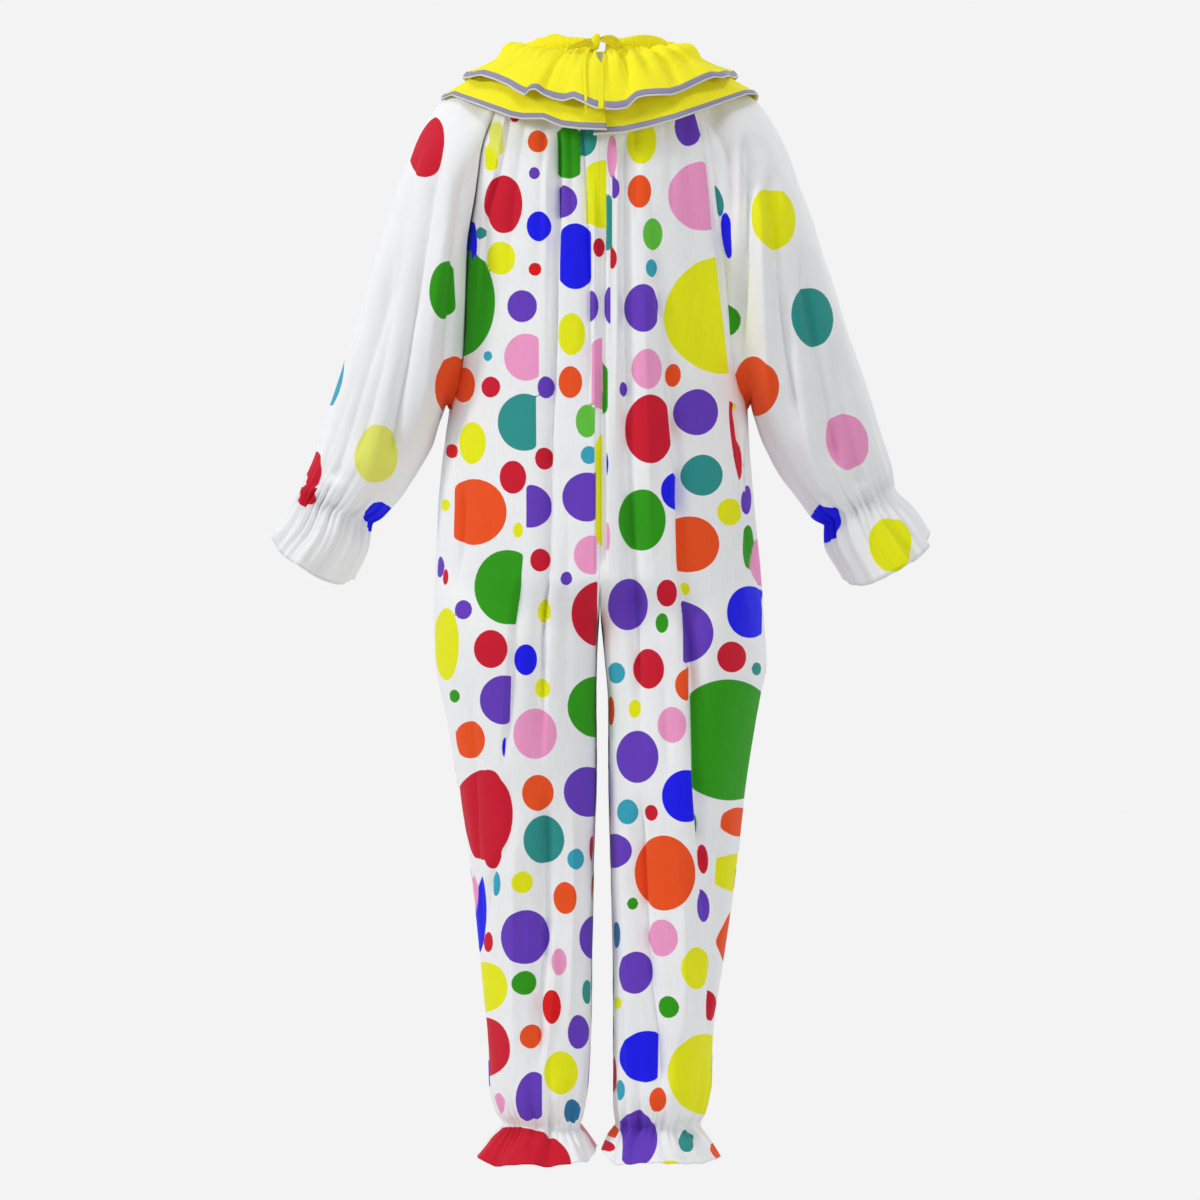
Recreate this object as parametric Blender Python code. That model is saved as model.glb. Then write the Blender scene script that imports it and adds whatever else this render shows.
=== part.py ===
"""Clown suit: a loose one-piece costume, filled out as if worn, with a two-tier collar tied at the nape.

The suit stands in its worn shape, in metres, +Z up. The wearer faces +Y, so the back, with the bow, faces -Y,
and the wearer's left is at -X. The origin is where the suit rests on the neck and shoulders.
Each piece that is cut and sewn is one hollow wall of cloth. Neighbours stop 0.3 mm short of each other at a seam.
"""
import math
from typing import NamedTuple

import bmesh
import bpy
from mathutils import Vector

WALL = 0.0015
SEAM_GAP = 0.0003
LEFT = -1
RIGHT = 1
BODY_SIDES = {LEFT: "left", RIGHT: "right"}

WHITE = (0.85, 0.86, 0.87, 1.0)
YELLOW = (0.90, 0.80, 0.03, 1.0)
GREY = (0.30, 0.30, 0.42, 1.0)


class BodyRow(NamedTuple):
    """One level section through the body, from the neckline down to the ankle hem."""
    height: float          # at the side of the body
    dip: float             # how much lower the row lies at the centre back and centre front
    left: float            # half-width on the wearer's left
    right: float
    back: float            # depth behind the middle
    front: float           # depth before the middle
    back_seam_left: float  # degrees round from the centre back to the back panel's outer edge
    back_seam_right: float
    front_seam_left: float  # degrees round from the centre back to the front panel's outer edge
    front_seam_right: float
    split: float           # 0 on the trunk, 1 where the two legs are apart
    leg_depth: float       # half-depth of one leg
    inner_left: float      # from the middle plane to the leg's inner edge
    inner_right: float


BODY_ROWS = (
    BodyRow(+0.050, 0.000, 0.095, 0.095, 0.079, 0.083, 54, 54, 126, 126, 0.0, 0.120, 0.000, 0.000),
    BodyRow(+0.024, 0.014, 0.142, 0.140, 0.102, 0.106, 50, 49, 130, 130, 0.0, 0.120, 0.000, 0.000),
    BodyRow(-0.003, 0.040, 0.188, 0.186, 0.127, 0.131, 45, 41, 135, 136, 0.0, 0.120, 0.000, 0.000),
    BodyRow(-0.060, 0.045, 0.192, 0.190, 0.134, 0.140, 51, 45, 130, 133, 0.0, 0.120, 0.000, 0.000),
    BodyRow(-0.130, 0.035, 0.190, 0.190, 0.137, 0.145, 56, 49, 124, 128, 0.0, 0.120, 0.000, 0.000),
    BodyRow(-0.200, 0.022, 0.188, 0.188, 0.138, 0.148, 63, 55, 119, 123, 0.0, 0.120, 0.000, 0.000),
    BodyRow(-0.270, 0.010, 0.188, 0.188, 0.138, 0.149, 65, 59, 116, 119, 0.0, 0.120, 0.000, 0.000),
    BodyRow(-0.330, 0.004, 0.190, 0.188, 0.138, 0.149, 66, 62, 112, 114, 0.0, 0.120, 0.000, 0.000),
    BodyRow(-0.375, 0.000, 0.192, 0.189, 0.138, 0.149, 70, 68, 102, 104, 0.0, 0.120, 0.000, 0.000),
    BodyRow(-0.405, 0.000, 0.194, 0.190, 0.138, 0.149, 80, 80, 80, 80, 0.0, 0.120, 0.000, 0.000),
    BodyRow(-0.450, 0.000, 0.200, 0.192, 0.139, 0.149, 68, 70, 68, 70, 0.0, 0.120, 0.000, 0.000),
    BodyRow(-0.510, 0.000, 0.206, 0.197, 0.141, 0.148, 63, 68, 63, 68, 0.05, 0.122, 0.000, 0.000),
    BodyRow(-0.575, 0.000, 0.208, 0.203, 0.143, 0.147, 69, 72, 69, 72, 0.36, 0.125, 0.000, 0.000),
    BodyRow(-0.630, 0.000, 0.210, 0.208, 0.143, 0.146, 82, 82, 82, 82, 0.80, 0.126, 0.000, 0.000),
    BodyRow(-0.665, 0.000, 0.211, 0.211, 0.143, 0.146, 88, 88, 88, 88, 1.0, 0.125, 0.001, 0.001),
    BodyRow(-0.725, 0.000, 0.208, 0.215, 0.143, 0.146, 90, 90, 90, 90, 1.0, 0.121, 0.003, 0.005),
    BodyRow(-0.780, 0.000, 0.197, 0.205, 0.143, 0.146, 90, 90, 90, 90, 1.0, 0.116, 0.004, 0.009),
    BodyRow(-0.880, 0.000, 0.180, 0.188, 0.143, 0.146, 90, 90, 90, 90, 1.0, 0.107, 0.005, 0.011),
    BodyRow(-0.990, 0.000, 0.164, 0.174, 0.143, 0.146, 90, 90, 90, 90, 1.0, 0.098, 0.009, 0.014),
    BodyRow(-1.100, 0.000, 0.152, 0.159, 0.143, 0.146, 90, 90, 90, 90, 1.0, 0.090, 0.012, 0.018),
    BodyRow(-1.200, 0.000, 0.143, 0.145, 0.143, 0.146, 90, 90, 90, 90, 1.0, 0.084, 0.014, 0.020),
    BodyRow(-1.270, 0.000, 0.139, 0.141, 0.143, 0.146, 90, 90, 90, 90, 1.0, 0.078, 0.018, 0.021),
    BodyRow(-1.300, 0.000, 0.130, 0.132, 0.143, 0.146, 90, 90, 90, 90, 1.0, 0.066, 0.024, 0.023),
    BodyRow(-1.316, 0.000, 0.122, 0.123, 0.143, 0.146, 90, 90, 90, 90, 1.0, 0.052, 0.029, 0.026),
    BodyRow(-1.336, 0.000, 0.137, 0.138, 0.143, 0.146, 90, 90, 90, 90, 1.0, 0.066, 0.018, 0.014),
    BodyRow(-1.360, 0.000, 0.154, 0.153, 0.143, 0.146, 90, 90, 90, 90, 1.0, 0.082, 0.005, 0.004),
)
UNDERARM = 9               # the row where the armholes end
NECKLINE_HEIGHT = BODY_ROWS[0].height
NECK_FREE_HEIGHT = BODY_ROWS[2].height
ANKLE_HEIGHT = -1.316
HEM_HEIGHT = BODY_ROWS[-1].height
KEYHOLE_HALF_WIDTH = 0.007
KEYHOLE_FOOT = 0.020


class Pleat(NamedTuple):
    """One ridge (+) or trough (-) down a body panel.

    Its place is a share of the way from the centre line, or from a leg's inner edge, to the side of the body.
    """
    at_yoke: float
    at_hip: float
    at_leg: float
    rise_yoke: float
    rise_hip: float
    rise_leg: float


PLEATS = {
    ("back", LEFT): (
        Pleat(0.03, 0.02, 0.04, +0.003, +0.004, +0.002),
        Pleat(0.09, 0.10, 0.10, -0.004, -0.004, -0.003),
        Pleat(0.16, 0.17, 0.22, +0.004, +0.005, +0.004),
        Pleat(0.285, 0.30, 0.44, -0.006, -0.008, -0.006),
        Pleat(0.37, 0.43, 0.56, +0.005, +0.006, +0.002),
        Pleat(0.46, 0.565, 0.63, -0.003, -0.004, -0.002),
        Pleat(0.59, 0.72, 0.71, +0.004, +0.004, +0.003),
        Pleat(0.67, 0.84, 0.87, -0.004, -0.003, -0.002),
    ),
    ("back", RIGHT): (
        Pleat(0.03, 0.02, 0.03, -0.004, -0.004, -0.002),
        Pleat(0.095, 0.06, 0.14, +0.005, +0.005, +0.003),
        Pleat(0.16, 0.17, 0.33, -0.006, -0.006, -0.006),
        Pleat(0.305, 0.365, 0.51, +0.005, +0.006, +0.004),
        Pleat(0.37, 0.50, 0.66, -0.006, -0.009, -0.005),
        Pleat(0.45, 0.575, 0.74, +0.004, +0.005, +0.003),
        Pleat(0.55, 0.71, 0.83, -0.003, -0.004, -0.003),
        Pleat(0.62, 0.83, 0.91, +0.003, +0.003, +0.001),
    ),
    ("front", LEFT): (
        Pleat(0.04, 0.05, 0.08, +0.004, +0.004, +0.002),
        Pleat(0.10, 0.14, 0.18, -0.005, -0.006, -0.003),
        Pleat(0.20, 0.27, 0.32, +0.005, +0.006, +0.004),
        Pleat(0.32, 0.40, 0.45, -0.005, -0.007, -0.005),
        Pleat(0.43, 0.52, 0.57, +0.004, +0.005, +0.004),
        Pleat(0.54, 0.66, 0.69, -0.005, -0.006, -0.004),
        Pleat(0.62, 0.80, 0.80, +0.003, +0.004, +0.002),
        Pleat(0.68, 0.92, 0.91, -0.003, -0.003, -0.001),
    ),
    ("front", RIGHT): (
        Pleat(0.03, 0.05, 0.07, -0.003, -0.004, -0.002),
        Pleat(0.11, 0.15, 0.19, +0.005, +0.005, +0.003),
        Pleat(0.22, 0.26, 0.33, -0.006, -0.007, -0.005),
        Pleat(0.31, 0.39, 0.46, +0.004, +0.006, +0.004),
        Pleat(0.41, 0.53, 0.58, -0.004, -0.005, -0.004),
        Pleat(0.51, 0.67, 0.70, +0.005, +0.005, +0.003),
        Pleat(0.60, 0.79, 0.81, -0.004, -0.004, -0.002),
        Pleat(0.67, 0.91, 0.92, +0.002, +0.003, +0.001),
    ),
}
HIP_HEIGHT = -0.60
LEG_HEIGHT = -0.90
HALVINGS = 24
HEM_RIPPLE = 0.0055        # how far the ankle ruffle's hem waves in and out


class SleeveRing(NamedTuple):
    """One section round a sleeve, from its outer edge to its inner edge."""
    outer_x: float
    outer_z: float
    inner_x: float
    inner_z: float
    depth: float
    middle_y: float
    rise: float            # height of the lengthwise folds there


SLEEVE_RINGS = {
    LEFT: (
        SleeveRing(0.205, -0.011, 0.196, -0.398, 0.108, -0.008, 0.002),
        SleeveRing(0.2675, -0.157, 0.205, -0.424, 0.106, -0.004, 0.006),
        SleeveRing(0.310, -0.290, 0.212, -0.449, 0.098, 0.002, 0.007),
        SleeveRing(0.344, -0.390, 0.229, -0.478, 0.088, 0.008, 0.007),
        SleeveRing(0.367, -0.463, 0.257, -0.516, 0.074, 0.012, 0.006),
        SleeveRing(0.381, -0.498, 0.282, -0.538, 0.058, 0.014, 0.004),
        SleeveRing(0.388, -0.517, 0.297, -0.5453, 0.045, 0.015, 0.001),
        SleeveRing(0.404, -0.545, 0.2965, -0.576, 0.056, 0.016, 0.004),
        SleeveRing(0.419, -0.575, 0.304, -0.612, 0.066, 0.017, 0.006),
    ),
    RIGHT: (
        SleeveRing(0.203, -0.011, 0.194, -0.390, 0.108, -0.008, 0.002),
        SleeveRing(0.262, -0.140, 0.201, -0.412, 0.106, -0.004, 0.006),
        SleeveRing(0.303, -0.255, 0.208, -0.434, 0.098, 0.002, 0.007),
        SleeveRing(0.338, -0.356, 0.225, -0.470, 0.088, 0.008, 0.007),
        SleeveRing(0.362, -0.438, 0.251, -0.508, 0.074, 0.012, 0.006),
        SleeveRing(0.373, -0.482, 0.276, -0.540, 0.058, 0.014, 0.004),
        SleeveRing(0.3745, -0.503, 0.293, -0.549, 0.045, 0.015, 0.001),
        SleeveRing(0.398, -0.530, 0.291, -0.572, 0.056, 0.016, 0.004),
        SleeveRing(0.416, -0.566, 0.304, -0.614, 0.066, 0.017, 0.006),
    ),
}
SHOULDER_CELLS = 5
SLEEVE_FOLDS = 6
SLEEVE_FOLD_DRIFT = 0.6    # radians by which the folds crowd towards the front and back
BACK_SHARE = 0.41          # share of the way round a sleeve that its seam with the back panel takes
SHOULDER_SHARE = 0.18
FRONT_SHARE = 0.41


class TierRow(NamedTuple):
    """One ring of a collar tier, from the neck outwards."""
    reach: float           # 0 at the neck, 1 at the edge
    side: float
    back: float
    front: float
    side_height: float
    back_height: float
    front_height: float
    wave: float            # height of the ruffles
    left_end: float        # x of the wearer's left end at the centre back
    right_end: float


UPPER_TIER = (
    TierRow(0.0, 0.0952, 0.0792, 0.0832, +0.0536, +0.0536, +0.0536, 0.0000, -0.0070, +0.0070),
    TierRow(0.40, 0.136, 0.117, 0.122, +0.0510, +0.0310, +0.0300, 0.0015, -0.0012, +0.0012),
    TierRow(0.91, 0.1690, 0.1530, 0.1590, +0.0305, -0.0225, -0.0265, 0.0030, -0.0025, +0.0059),
    TierRow(0.975, 0.1735, 0.1570, 0.1630, +0.0250, -0.0305, -0.0345, 0.0033, -0.0027, +0.0061),
    TierRow(1.0, 0.1750, 0.1582, 0.1643, +0.0230, -0.0330, -0.0370, 0.0034, -0.0028, +0.0062),
)
LOWER_TIER = (
    TierRow(0.0, 0.0952, 0.0792, 0.0832, +0.0518, +0.0518, +0.0518, 0.0000, -0.0070, +0.0070),
    TierRow(0.40, 0.141, 0.116, 0.121, +0.0320, +0.0130, +0.0120, 0.0008, +0.0014, -0.0014),
    TierRow(0.93, 0.1965, 0.1500, 0.1570, +0.0005, -0.0495, -0.0545, 0.0018, +0.0078, -0.0078),
    TierRow(0.98, 0.2010, 0.1535, 0.1605, -0.0045, -0.0575, -0.0625, 0.0020, +0.0083, -0.0083),
    TierRow(1.0, 0.2025, 0.1545, 0.1615, -0.0060, -0.0600, -0.0650, 0.0020, +0.0085, -0.0085),
)
TRIM_ROWS = (2, 3)         # the rows that the ribbon's two edges lie on
UPPER_WAVES = 11
LOWER_WAVES = 9
TIER_CELLS = 44
END_TUCK = 0.0052          # the right end of the lower tier lies this far behind the left end
END_TUCK_DEGREES = 14.0
TUCK_REACH = 0.4           # the tuck grows from nothing at the neck to its whole depth at this reach
TRIM_WALL = 0.0009

WAVE_DRIFT = 0.9           # radians by which the ruffles stray from even spacing
WAVE_SHIFT = 0.5
TIER_RADIUS = 0.15         # about how far the tiers reach, to turn a wave's height into a share of it
CASING_LOW = 0.0539
CASING_HIGH = 0.0655
CASING_BELLY = 0.0022
CASING_PINCH = 0.0009      # depth of the gathers round the casing
CASING_OVERHANG = 0.0004   # how far the casing stands out past the tier's neck edge
TAPE_WALL = 0.0012


class TapePoint(NamedTuple):
    """A point on a tape's middle line, with half the tape's width there."""
    x: float
    y: float
    z: float
    half_width: float


KNOT_CENTRE = Vector((-0.0035, -0.0875, 0.0610))
KNOT_HALF_SIZE = Vector((0.0062, 0.0055, 0.0058))
KNOT_ROUNDING = 0.0022
TAPES = {
    "tie_loop_left": (
        TapePoint(-0.0106, -0.0888, 0.0625, 0.0030),
        TapePoint(-0.0200, -0.0918, 0.0615, 0.0040),
        TapePoint(-0.0300, -0.0923, 0.0560, 0.0042),
        TapePoint(-0.0370, -0.0918, 0.0510, 0.0040),
        TapePoint(-0.0385, -0.0958, 0.0490, 0.0038),
        TapePoint(-0.0350, -0.0998, 0.0495, 0.0040),
        TapePoint(-0.0240, -0.0998, 0.0555, 0.0036),
        TapePoint(-0.0112, -0.0943, 0.0595, 0.0024),
    ),
    "tie_loop_right": (
        TapePoint(0.0036, -0.0888, 0.0625, 0.0030),
        TapePoint(0.0120, -0.0928, 0.0630, 0.0040),
        TapePoint(0.0210, -0.0948, 0.0595, 0.0042),
        TapePoint(0.0265, -0.0948, 0.0540, 0.0042),
        TapePoint(0.0270, -0.0988, 0.0490, 0.0040),
        TapePoint(0.0225, -0.1023, 0.0485, 0.0040),
        TapePoint(0.0130, -0.1003, 0.0535, 0.0040),
        TapePoint(0.0040, -0.0948, 0.0580, 0.0030),
    ),
    "tie_tail_left": (
        TapePoint(-0.0103, -0.0900, 0.0555, 0.0022),
        TapePoint(-0.0160, -0.0950, 0.0500, 0.0036),
        TapePoint(-0.0205, -0.1060, 0.0430, 0.0045),
        TapePoint(-0.0215, -0.1220, 0.0320, 0.0045),
        TapePoint(-0.0210, -0.1440, 0.0060, 0.0045),
        TapePoint(-0.0190, -0.1610, -0.0150, 0.0045),
        TapePoint(-0.0175, -0.1680, -0.0290, 0.0045),
        TapePoint(-0.0170, -0.1690, -0.0440, 0.0045),
    ),
}


def clear_scene():
    for item in list(bpy.data.objects):
        bpy.data.objects.remove(item, do_unlink=True)


def cloth_material(name, colour, roughness):
    material = bpy.data.materials.new(name)
    material.use_nodes = True
    shader = material.node_tree.nodes["Principled BSDF"]
    shader.inputs["Base Color"].default_value = colour
    shader.inputs["Roughness"].default_value = roughness
    shader.inputs["Metallic"].default_value = 0.0
    return material


def add_object(name, mesh_maker, material):
    """Turn the filled bmesh into a named, smooth-shaded object."""
    mesh = bpy.data.meshes.new(name)
    mesh_maker.normal_update()
    mesh_maker.to_mesh(mesh)
    mesh_maker.free()
    mesh.materials.append(material)
    mesh.shade_smooth()
    mesh.set_sharp_from_angle(angle=math.radians(50))
    piece = bpy.data.objects.new(name, mesh)
    bpy.context.scene.collection.objects.link(piece)
    return piece


def wall_from_grid(rows, inward, wall, closed):
    """A closed wall of cloth: a grid on the outer face, its copy moved inward, and a rim between the two.

    rows and inward are lists of equally long rows of vectors. A closed grid joins its last column to its first.
    """
    row_count, column_count = len(rows), len(rows[0])
    sheet = bmesh.new()
    outer = [[sheet.verts.new(point) for point in row] for row in rows]
    inner = [[sheet.verts.new(point + step * wall) for point, step in zip(row, steps)]
             for row, steps in zip(rows, inward)]
    cells = column_count if closed else column_count - 1
    for r in range(row_count - 1):
        for c in range(cells):
            d = (c + 1) % column_count
            sheet.faces.new((outer[r][c], outer[r + 1][c], outer[r + 1][d]))
            sheet.faces.new((outer[r][c], outer[r + 1][d], outer[r][d]))
            sheet.faces.new((inner[r][c], inner[r + 1][d], inner[r + 1][c]))
            sheet.faces.new((inner[r][c], inner[r][d], inner[r + 1][d]))
    for c in range(cells):
        d = (c + 1) % column_count
        last = row_count - 1
        sheet.faces.new((outer[0][d], inner[0][d], inner[0][c], outer[0][c]))
        sheet.faces.new((outer[last][c], inner[last][c], inner[last][d], outer[last][d]))
    if not closed:
        for r in range(row_count - 1):
            end = column_count - 1
            sheet.faces.new((outer[r][0], inner[r][0], inner[r + 1][0], outer[r + 1][0]))
            sheet.faces.new((outer[r + 1][end], inner[r + 1][end], inner[r][end], outer[r][end]))
    bmesh.ops.recalc_face_normals(sheet, faces=sheet.faces)
    if sheet.calc_volume(signed=True) < 0.0:
        bmesh.ops.reverse_faces(sheet, faces=sheet.faces)
    return sheet


def body_point(side, row, degrees):
    """A point of the smooth body: round the trunk from the centre back to the centre front, or round one leg."""
    angle = math.radians(degrees)
    half = row.left if side == LEFT else row.right
    inner = row.inner_left if side == LEFT else row.inner_right
    depth = row.back if degrees < 90.0 else row.front
    trunk_x = half * math.sin(angle)
    trunk_y = -depth * math.cos(angle)
    leg_x = (half + inner) / 2 - (half - inner) / 2 * math.cos(2 * angle)
    leg_y = -row.leg_depth * math.sin(2 * angle)
    x = trunk_x + (leg_x - trunk_x) * row.split
    y = trunk_y + (leg_y - trunk_y) * row.split
    z = row.height - row.dip * math.cos(angle) ** 2
    return Vector((side * x, y, z))


def body_inward(side, index, degrees):
    """The unit direction into the suit, square to the smooth body."""
    step = 0.5
    above = BODY_ROWS[max(index - 1, 0)]
    below = BODY_ROWS[min(index + 1, len(BODY_ROWS) - 1)]
    row = BODY_ROWS[index]
    round_it = body_point(side, row, degrees + step) - body_point(side, row, degrees - step)
    down_it = body_point(side, below, degrees) - body_point(side, above, degrees)
    return (round_it.cross(down_it) * side).normalized()


def degrees_at(side, row, centre, turn, share):
    """The direction in which a line this share of the way across the body is met, found by halving."""
    half = row.left if side == LEFT else row.right
    inner = row.inner_left if side == LEFT else row.inner_right
    target = inner * row.split + (half - inner * row.split) * share
    near, far = 0.0, 90.0
    for _ in range(HALVINGS):
        middle = (near + far) / 2
        if abs(body_point(side, row, centre + turn * middle).x) < target:
            near = middle
        else:
            far = middle
    return centre + turn * near


def blend_by_height(height, at_yoke, at_hip, at_leg):
    if height > HIP_HEIGHT:
        share = min(max(height / HIP_HEIGHT, 0.0), 1.0)
        return at_yoke + (at_hip - at_yoke) * share
    share = min((height - HIP_HEIGHT) / (LEG_HEIGHT - HIP_HEIGHT), 1.0)
    return at_hip + (at_leg - at_hip) * share


def pleat_rise(row, pleat):
    """How far a fold stands out of the smooth body at a row."""
    rise = blend_by_height(row.height, pleat.rise_yoke, pleat.rise_hip, pleat.rise_leg)
    if row.height > NECK_FREE_HEIGHT:
        return rise * max(0.0, (NECKLINE_HEIGHT - row.height) / (NECKLINE_HEIGHT - NECK_FREE_HEIGHT))
    if row.height < ANKLE_HEIGHT:
        flare = (ANKLE_HEIGHT - row.height) / (ANKLE_HEIGHT - HEM_HEIGHT)
        return math.copysign(HEM_RIPPLE * flare, rise)
    return rise


def body_panel(face, side):
    """The grid of one half-panel: its columns are its two edges and the ridges and troughs between them."""
    rows = []
    inward = []
    for index, row in enumerate(BODY_ROWS):
        if face == "back":
            centre, turn = 0.0, 1.0
            seam = row.back_seam_left if side == LEFT else row.back_seam_right
        else:
            centre, turn = 180.0, -1.0
            seam = row.front_seam_left if side == LEFT else row.front_seam_right
        columns = [(centre, 0.0)]
        for pleat in PLEATS[(face, side)]:
            share = blend_by_height(row.height, pleat.at_yoke, pleat.at_hip, pleat.at_leg)
            columns.append((degrees_at(side, row, centre, turn, share), pleat_rise(row, pleat)))
        columns.append(((columns[-1][0] + seam) / 2, 0.0))
        columns.append((seam, 0.0))
        points = []
        steps = []
        for degrees, rise in columns:
            step = body_inward(side, index, degrees)
            points.append(body_point(side, row, degrees) - step * rise)
            steps.append(step)
        if face == "back" and row.height > KEYHOLE_FOOT:
            points[0].x = side * KEYHOLE_HALF_WIDTH
        elif row.split < 1.0:
            points[0].x = side * SEAM_GAP / 2
        else:
            points[0] += (points[1] - points[0]).normalized() * (SEAM_GAP / 2)
        if index >= UNDERARM:
            points[-1] += (points[-2] - points[-1]).normalized() * (SEAM_GAP / 2)
        rows.append(points)
        inward.append(steps)
    return rows, inward


def armhole(side):
    """The seam line where a sleeve joins the body, up the back, over the neckline and down the front.

    Gives the points, and the direction into the suit at each of them.
    """
    stops = []
    for index in range(UNDERARM, -1, -1):
        row = BODY_ROWS[index]
        stops.append((index, row.back_seam_left if side == LEFT else row.back_seam_right))
    top = BODY_ROWS[0]
    back_end = stops[-1][1]
    front_end = top.front_seam_left if side == LEFT else top.front_seam_right
    for cell in range(1, SHOULDER_CELLS):
        stops.append((0, back_end + (front_end - back_end) * cell / SHOULDER_CELLS))
    for index in range(0, UNDERARM):
        row = BODY_ROWS[index]
        stops.append((index, row.front_seam_left if side == LEFT else row.front_seam_right))
    points = [body_point(side, BODY_ROWS[index], degrees) for index, degrees in stops]
    inward = [body_inward(side, index, degrees) for index, degrees in stops]
    return points, inward


def sleeve_grid(side):
    """The grid of a sleeve: the armhole line first, then the rings down to the wrist ruffle's hem."""
    seam, seam_inward = armhole(side)
    shares = around_shares(seam)
    rows = []
    inward = []
    for ring in SLEEVE_RINGS[side]:
        outer = Vector((side * ring.outer_x, ring.middle_y, ring.outer_z))
        inner = Vector((side * ring.inner_x, ring.middle_y, ring.inner_z))
        centre = (outer + inner) / 2
        across = (outer - inner) / 2
        points = []
        steps = []
        for share in shares:
            angle = 2 * math.pi * share
            out = across.normalized() * (-math.cos(angle)) / across.length
            out += Vector((0.0, -math.sin(angle) / ring.depth, 0.0))
            out.normalize()
            rise = ring.rise * math.cos(SLEEVE_FOLDS * angle + SLEEVE_FOLD_DRIFT * math.sin(angle))
            place = centre - across * math.cos(angle) + Vector((0.0, -ring.depth * math.sin(angle), 0.0))
            points.append(place + out * rise)
            steps.append(-out)
        rows.append(points)
        inward.append(steps)
    first, first_inward = sleeve_start(seam, seam_inward, rows[0], inward[0])
    return [first] + rows, [first_inward] + inward


def sleeve_start(seam, seam_inward, next_row, next_inward):
    """The sleeve's own edge: beside the armhole line, with its wall turned clear of the body's edge."""
    count = len(seam)
    middle = sum(seam, Vector()) / count
    points = []
    steps = []
    for k in range(count):
        along = (seam[(k + 1) % count] - seam[k - 1]).normalized()
        away = along.cross(seam_inward[k]).normalized()
        if away.dot(middle - seam[k]) < 0.0:
            away = -away
        points.append(seam[k] + away * SEAM_GAP)
        step = along.cross(next_row[k] - seam[k]).normalized()
        if step.dot(next_inward[k]) < 0.0:
            step = -step
        step -= away * min(step.dot(away), 0.0)
        steps.append(step.normalized())
    return points, steps


def around_shares(seam):
    """How far round the sleeve each armhole point leads: the underarm at 0 and the shoulder line at one half."""
    shares = []
    for k in range(len(seam)):
        if k <= UNDERARM:
            shares.append(BACK_SHARE * k / UNDERARM)
        elif k < UNDERARM + SHOULDER_CELLS:
            shares.append(BACK_SHARE + SHOULDER_SHARE * (k - UNDERARM) / SHOULDER_CELLS)
        else:
            steps_down = k - UNDERARM - SHOULDER_CELLS
            shares.append(BACK_SHARE + SHOULDER_SHARE + FRONT_SHARE * steps_down / UNDERARM)
    return shares


def tier_point(row, waves, tuck, degrees):
    """A point on a collar tier, counted round from the centre back by way of the wearer's right."""
    angle = math.radians(degrees)
    back_share = (1 + math.cos(angle)) / 2
    depth = row.back if math.cos(angle) > 0 else row.front
    end_height = row.back_height if math.cos(angle) > 0 else row.front_height
    height = row.side_height + (end_height - row.side_height) * math.cos(angle) ** 2
    wave = row.wave * math.cos(waves * angle + WAVE_DRIFT * math.sin(2 * angle) + WAVE_SHIFT * back_share)
    radial = 1.0 + wave / TIER_RADIUS
    if tuck > 0.0 and degrees < END_TUCK_DEGREES * 2:
        closeness = min(max(2.0 - degrees / END_TUCK_DEGREES, 0.0), 1.0)
        radial -= tuck * closeness * min(row.reach / TUCK_REACH, 1.0) / depth
    return Vector((row.side * radial * math.sin(angle), -depth * radial * math.cos(angle), height + wave))


def tier_ends(row):
    """The angles at which a ring starts, at its right end, and stops, at its left end."""
    start = math.degrees(math.asin(row.right_end / row.side))
    stop = 360.0 + math.degrees(math.asin(row.left_end / row.side))
    return start, stop


def tier_grid(rows, picked, waves, tuck, lift):
    """The grid of a tier, or of a ribbon on two of its rows, which lift moves out of its face."""
    grid = []
    inward = []
    for index in picked:
        row = rows[index]
        low = rows[max(index - 1, 0)]
        high = rows[min(index + 1, len(rows) - 1)]
        start, stop = tier_ends(row)
        points = []
        steps = []
        for cell in range(TIER_CELLS + 1):
            degrees = start + (stop - start) * cell / TIER_CELLS
            point = tier_point(row, waves, tuck, degrees)
            round_it = tier_point(row, waves, tuck, degrees + 1.0) - tier_point(row, waves, tuck, degrees - 1.0)
            out_it = tier_point(high, waves, tuck, degrees) - tier_point(low, waves, tuck, degrees)
            step = round_it.cross(out_it).normalized()
            if step.z > 0.0:
                step = -step
            if row.reach == 0.0:
                step = Vector((0.0, 0.0, -1.0))
            points.append(point - step * lift)
            steps.append(step)
        grid.append(points)
        inward.append(steps)
    return grid, inward


def casing_grid():
    """The gathered tunnel that stands on the upper tier's neck edge, open at the centre back."""
    low = UPPER_TIER[0]
    start, stop = tier_ends(low)
    grid = []
    inward = []
    for height, belly in ((CASING_LOW, 0.0), ((CASING_LOW + CASING_HIGH) / 2, CASING_BELLY), (CASING_HIGH, 0.0)):
        points = []
        steps = []
        for cell in range(TIER_CELLS + 1):
            degrees = start + (stop - start) * cell / TIER_CELLS
            angle = math.radians(degrees)
            out = CASING_OVERHANG + belly + CASING_PINCH * math.cos(UPPER_WAVES * 2 * angle)
            side = low.side + out
            depth = (low.back if math.cos(angle) > 0 else low.front) + out
            points.append(Vector((side * math.sin(angle), -depth * math.cos(angle), height)))
            steps.append(Vector((-math.sin(angle), math.cos(angle), 0.0)))
        grid.append(points)
        inward.append(steps)
    return grid, inward


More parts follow.
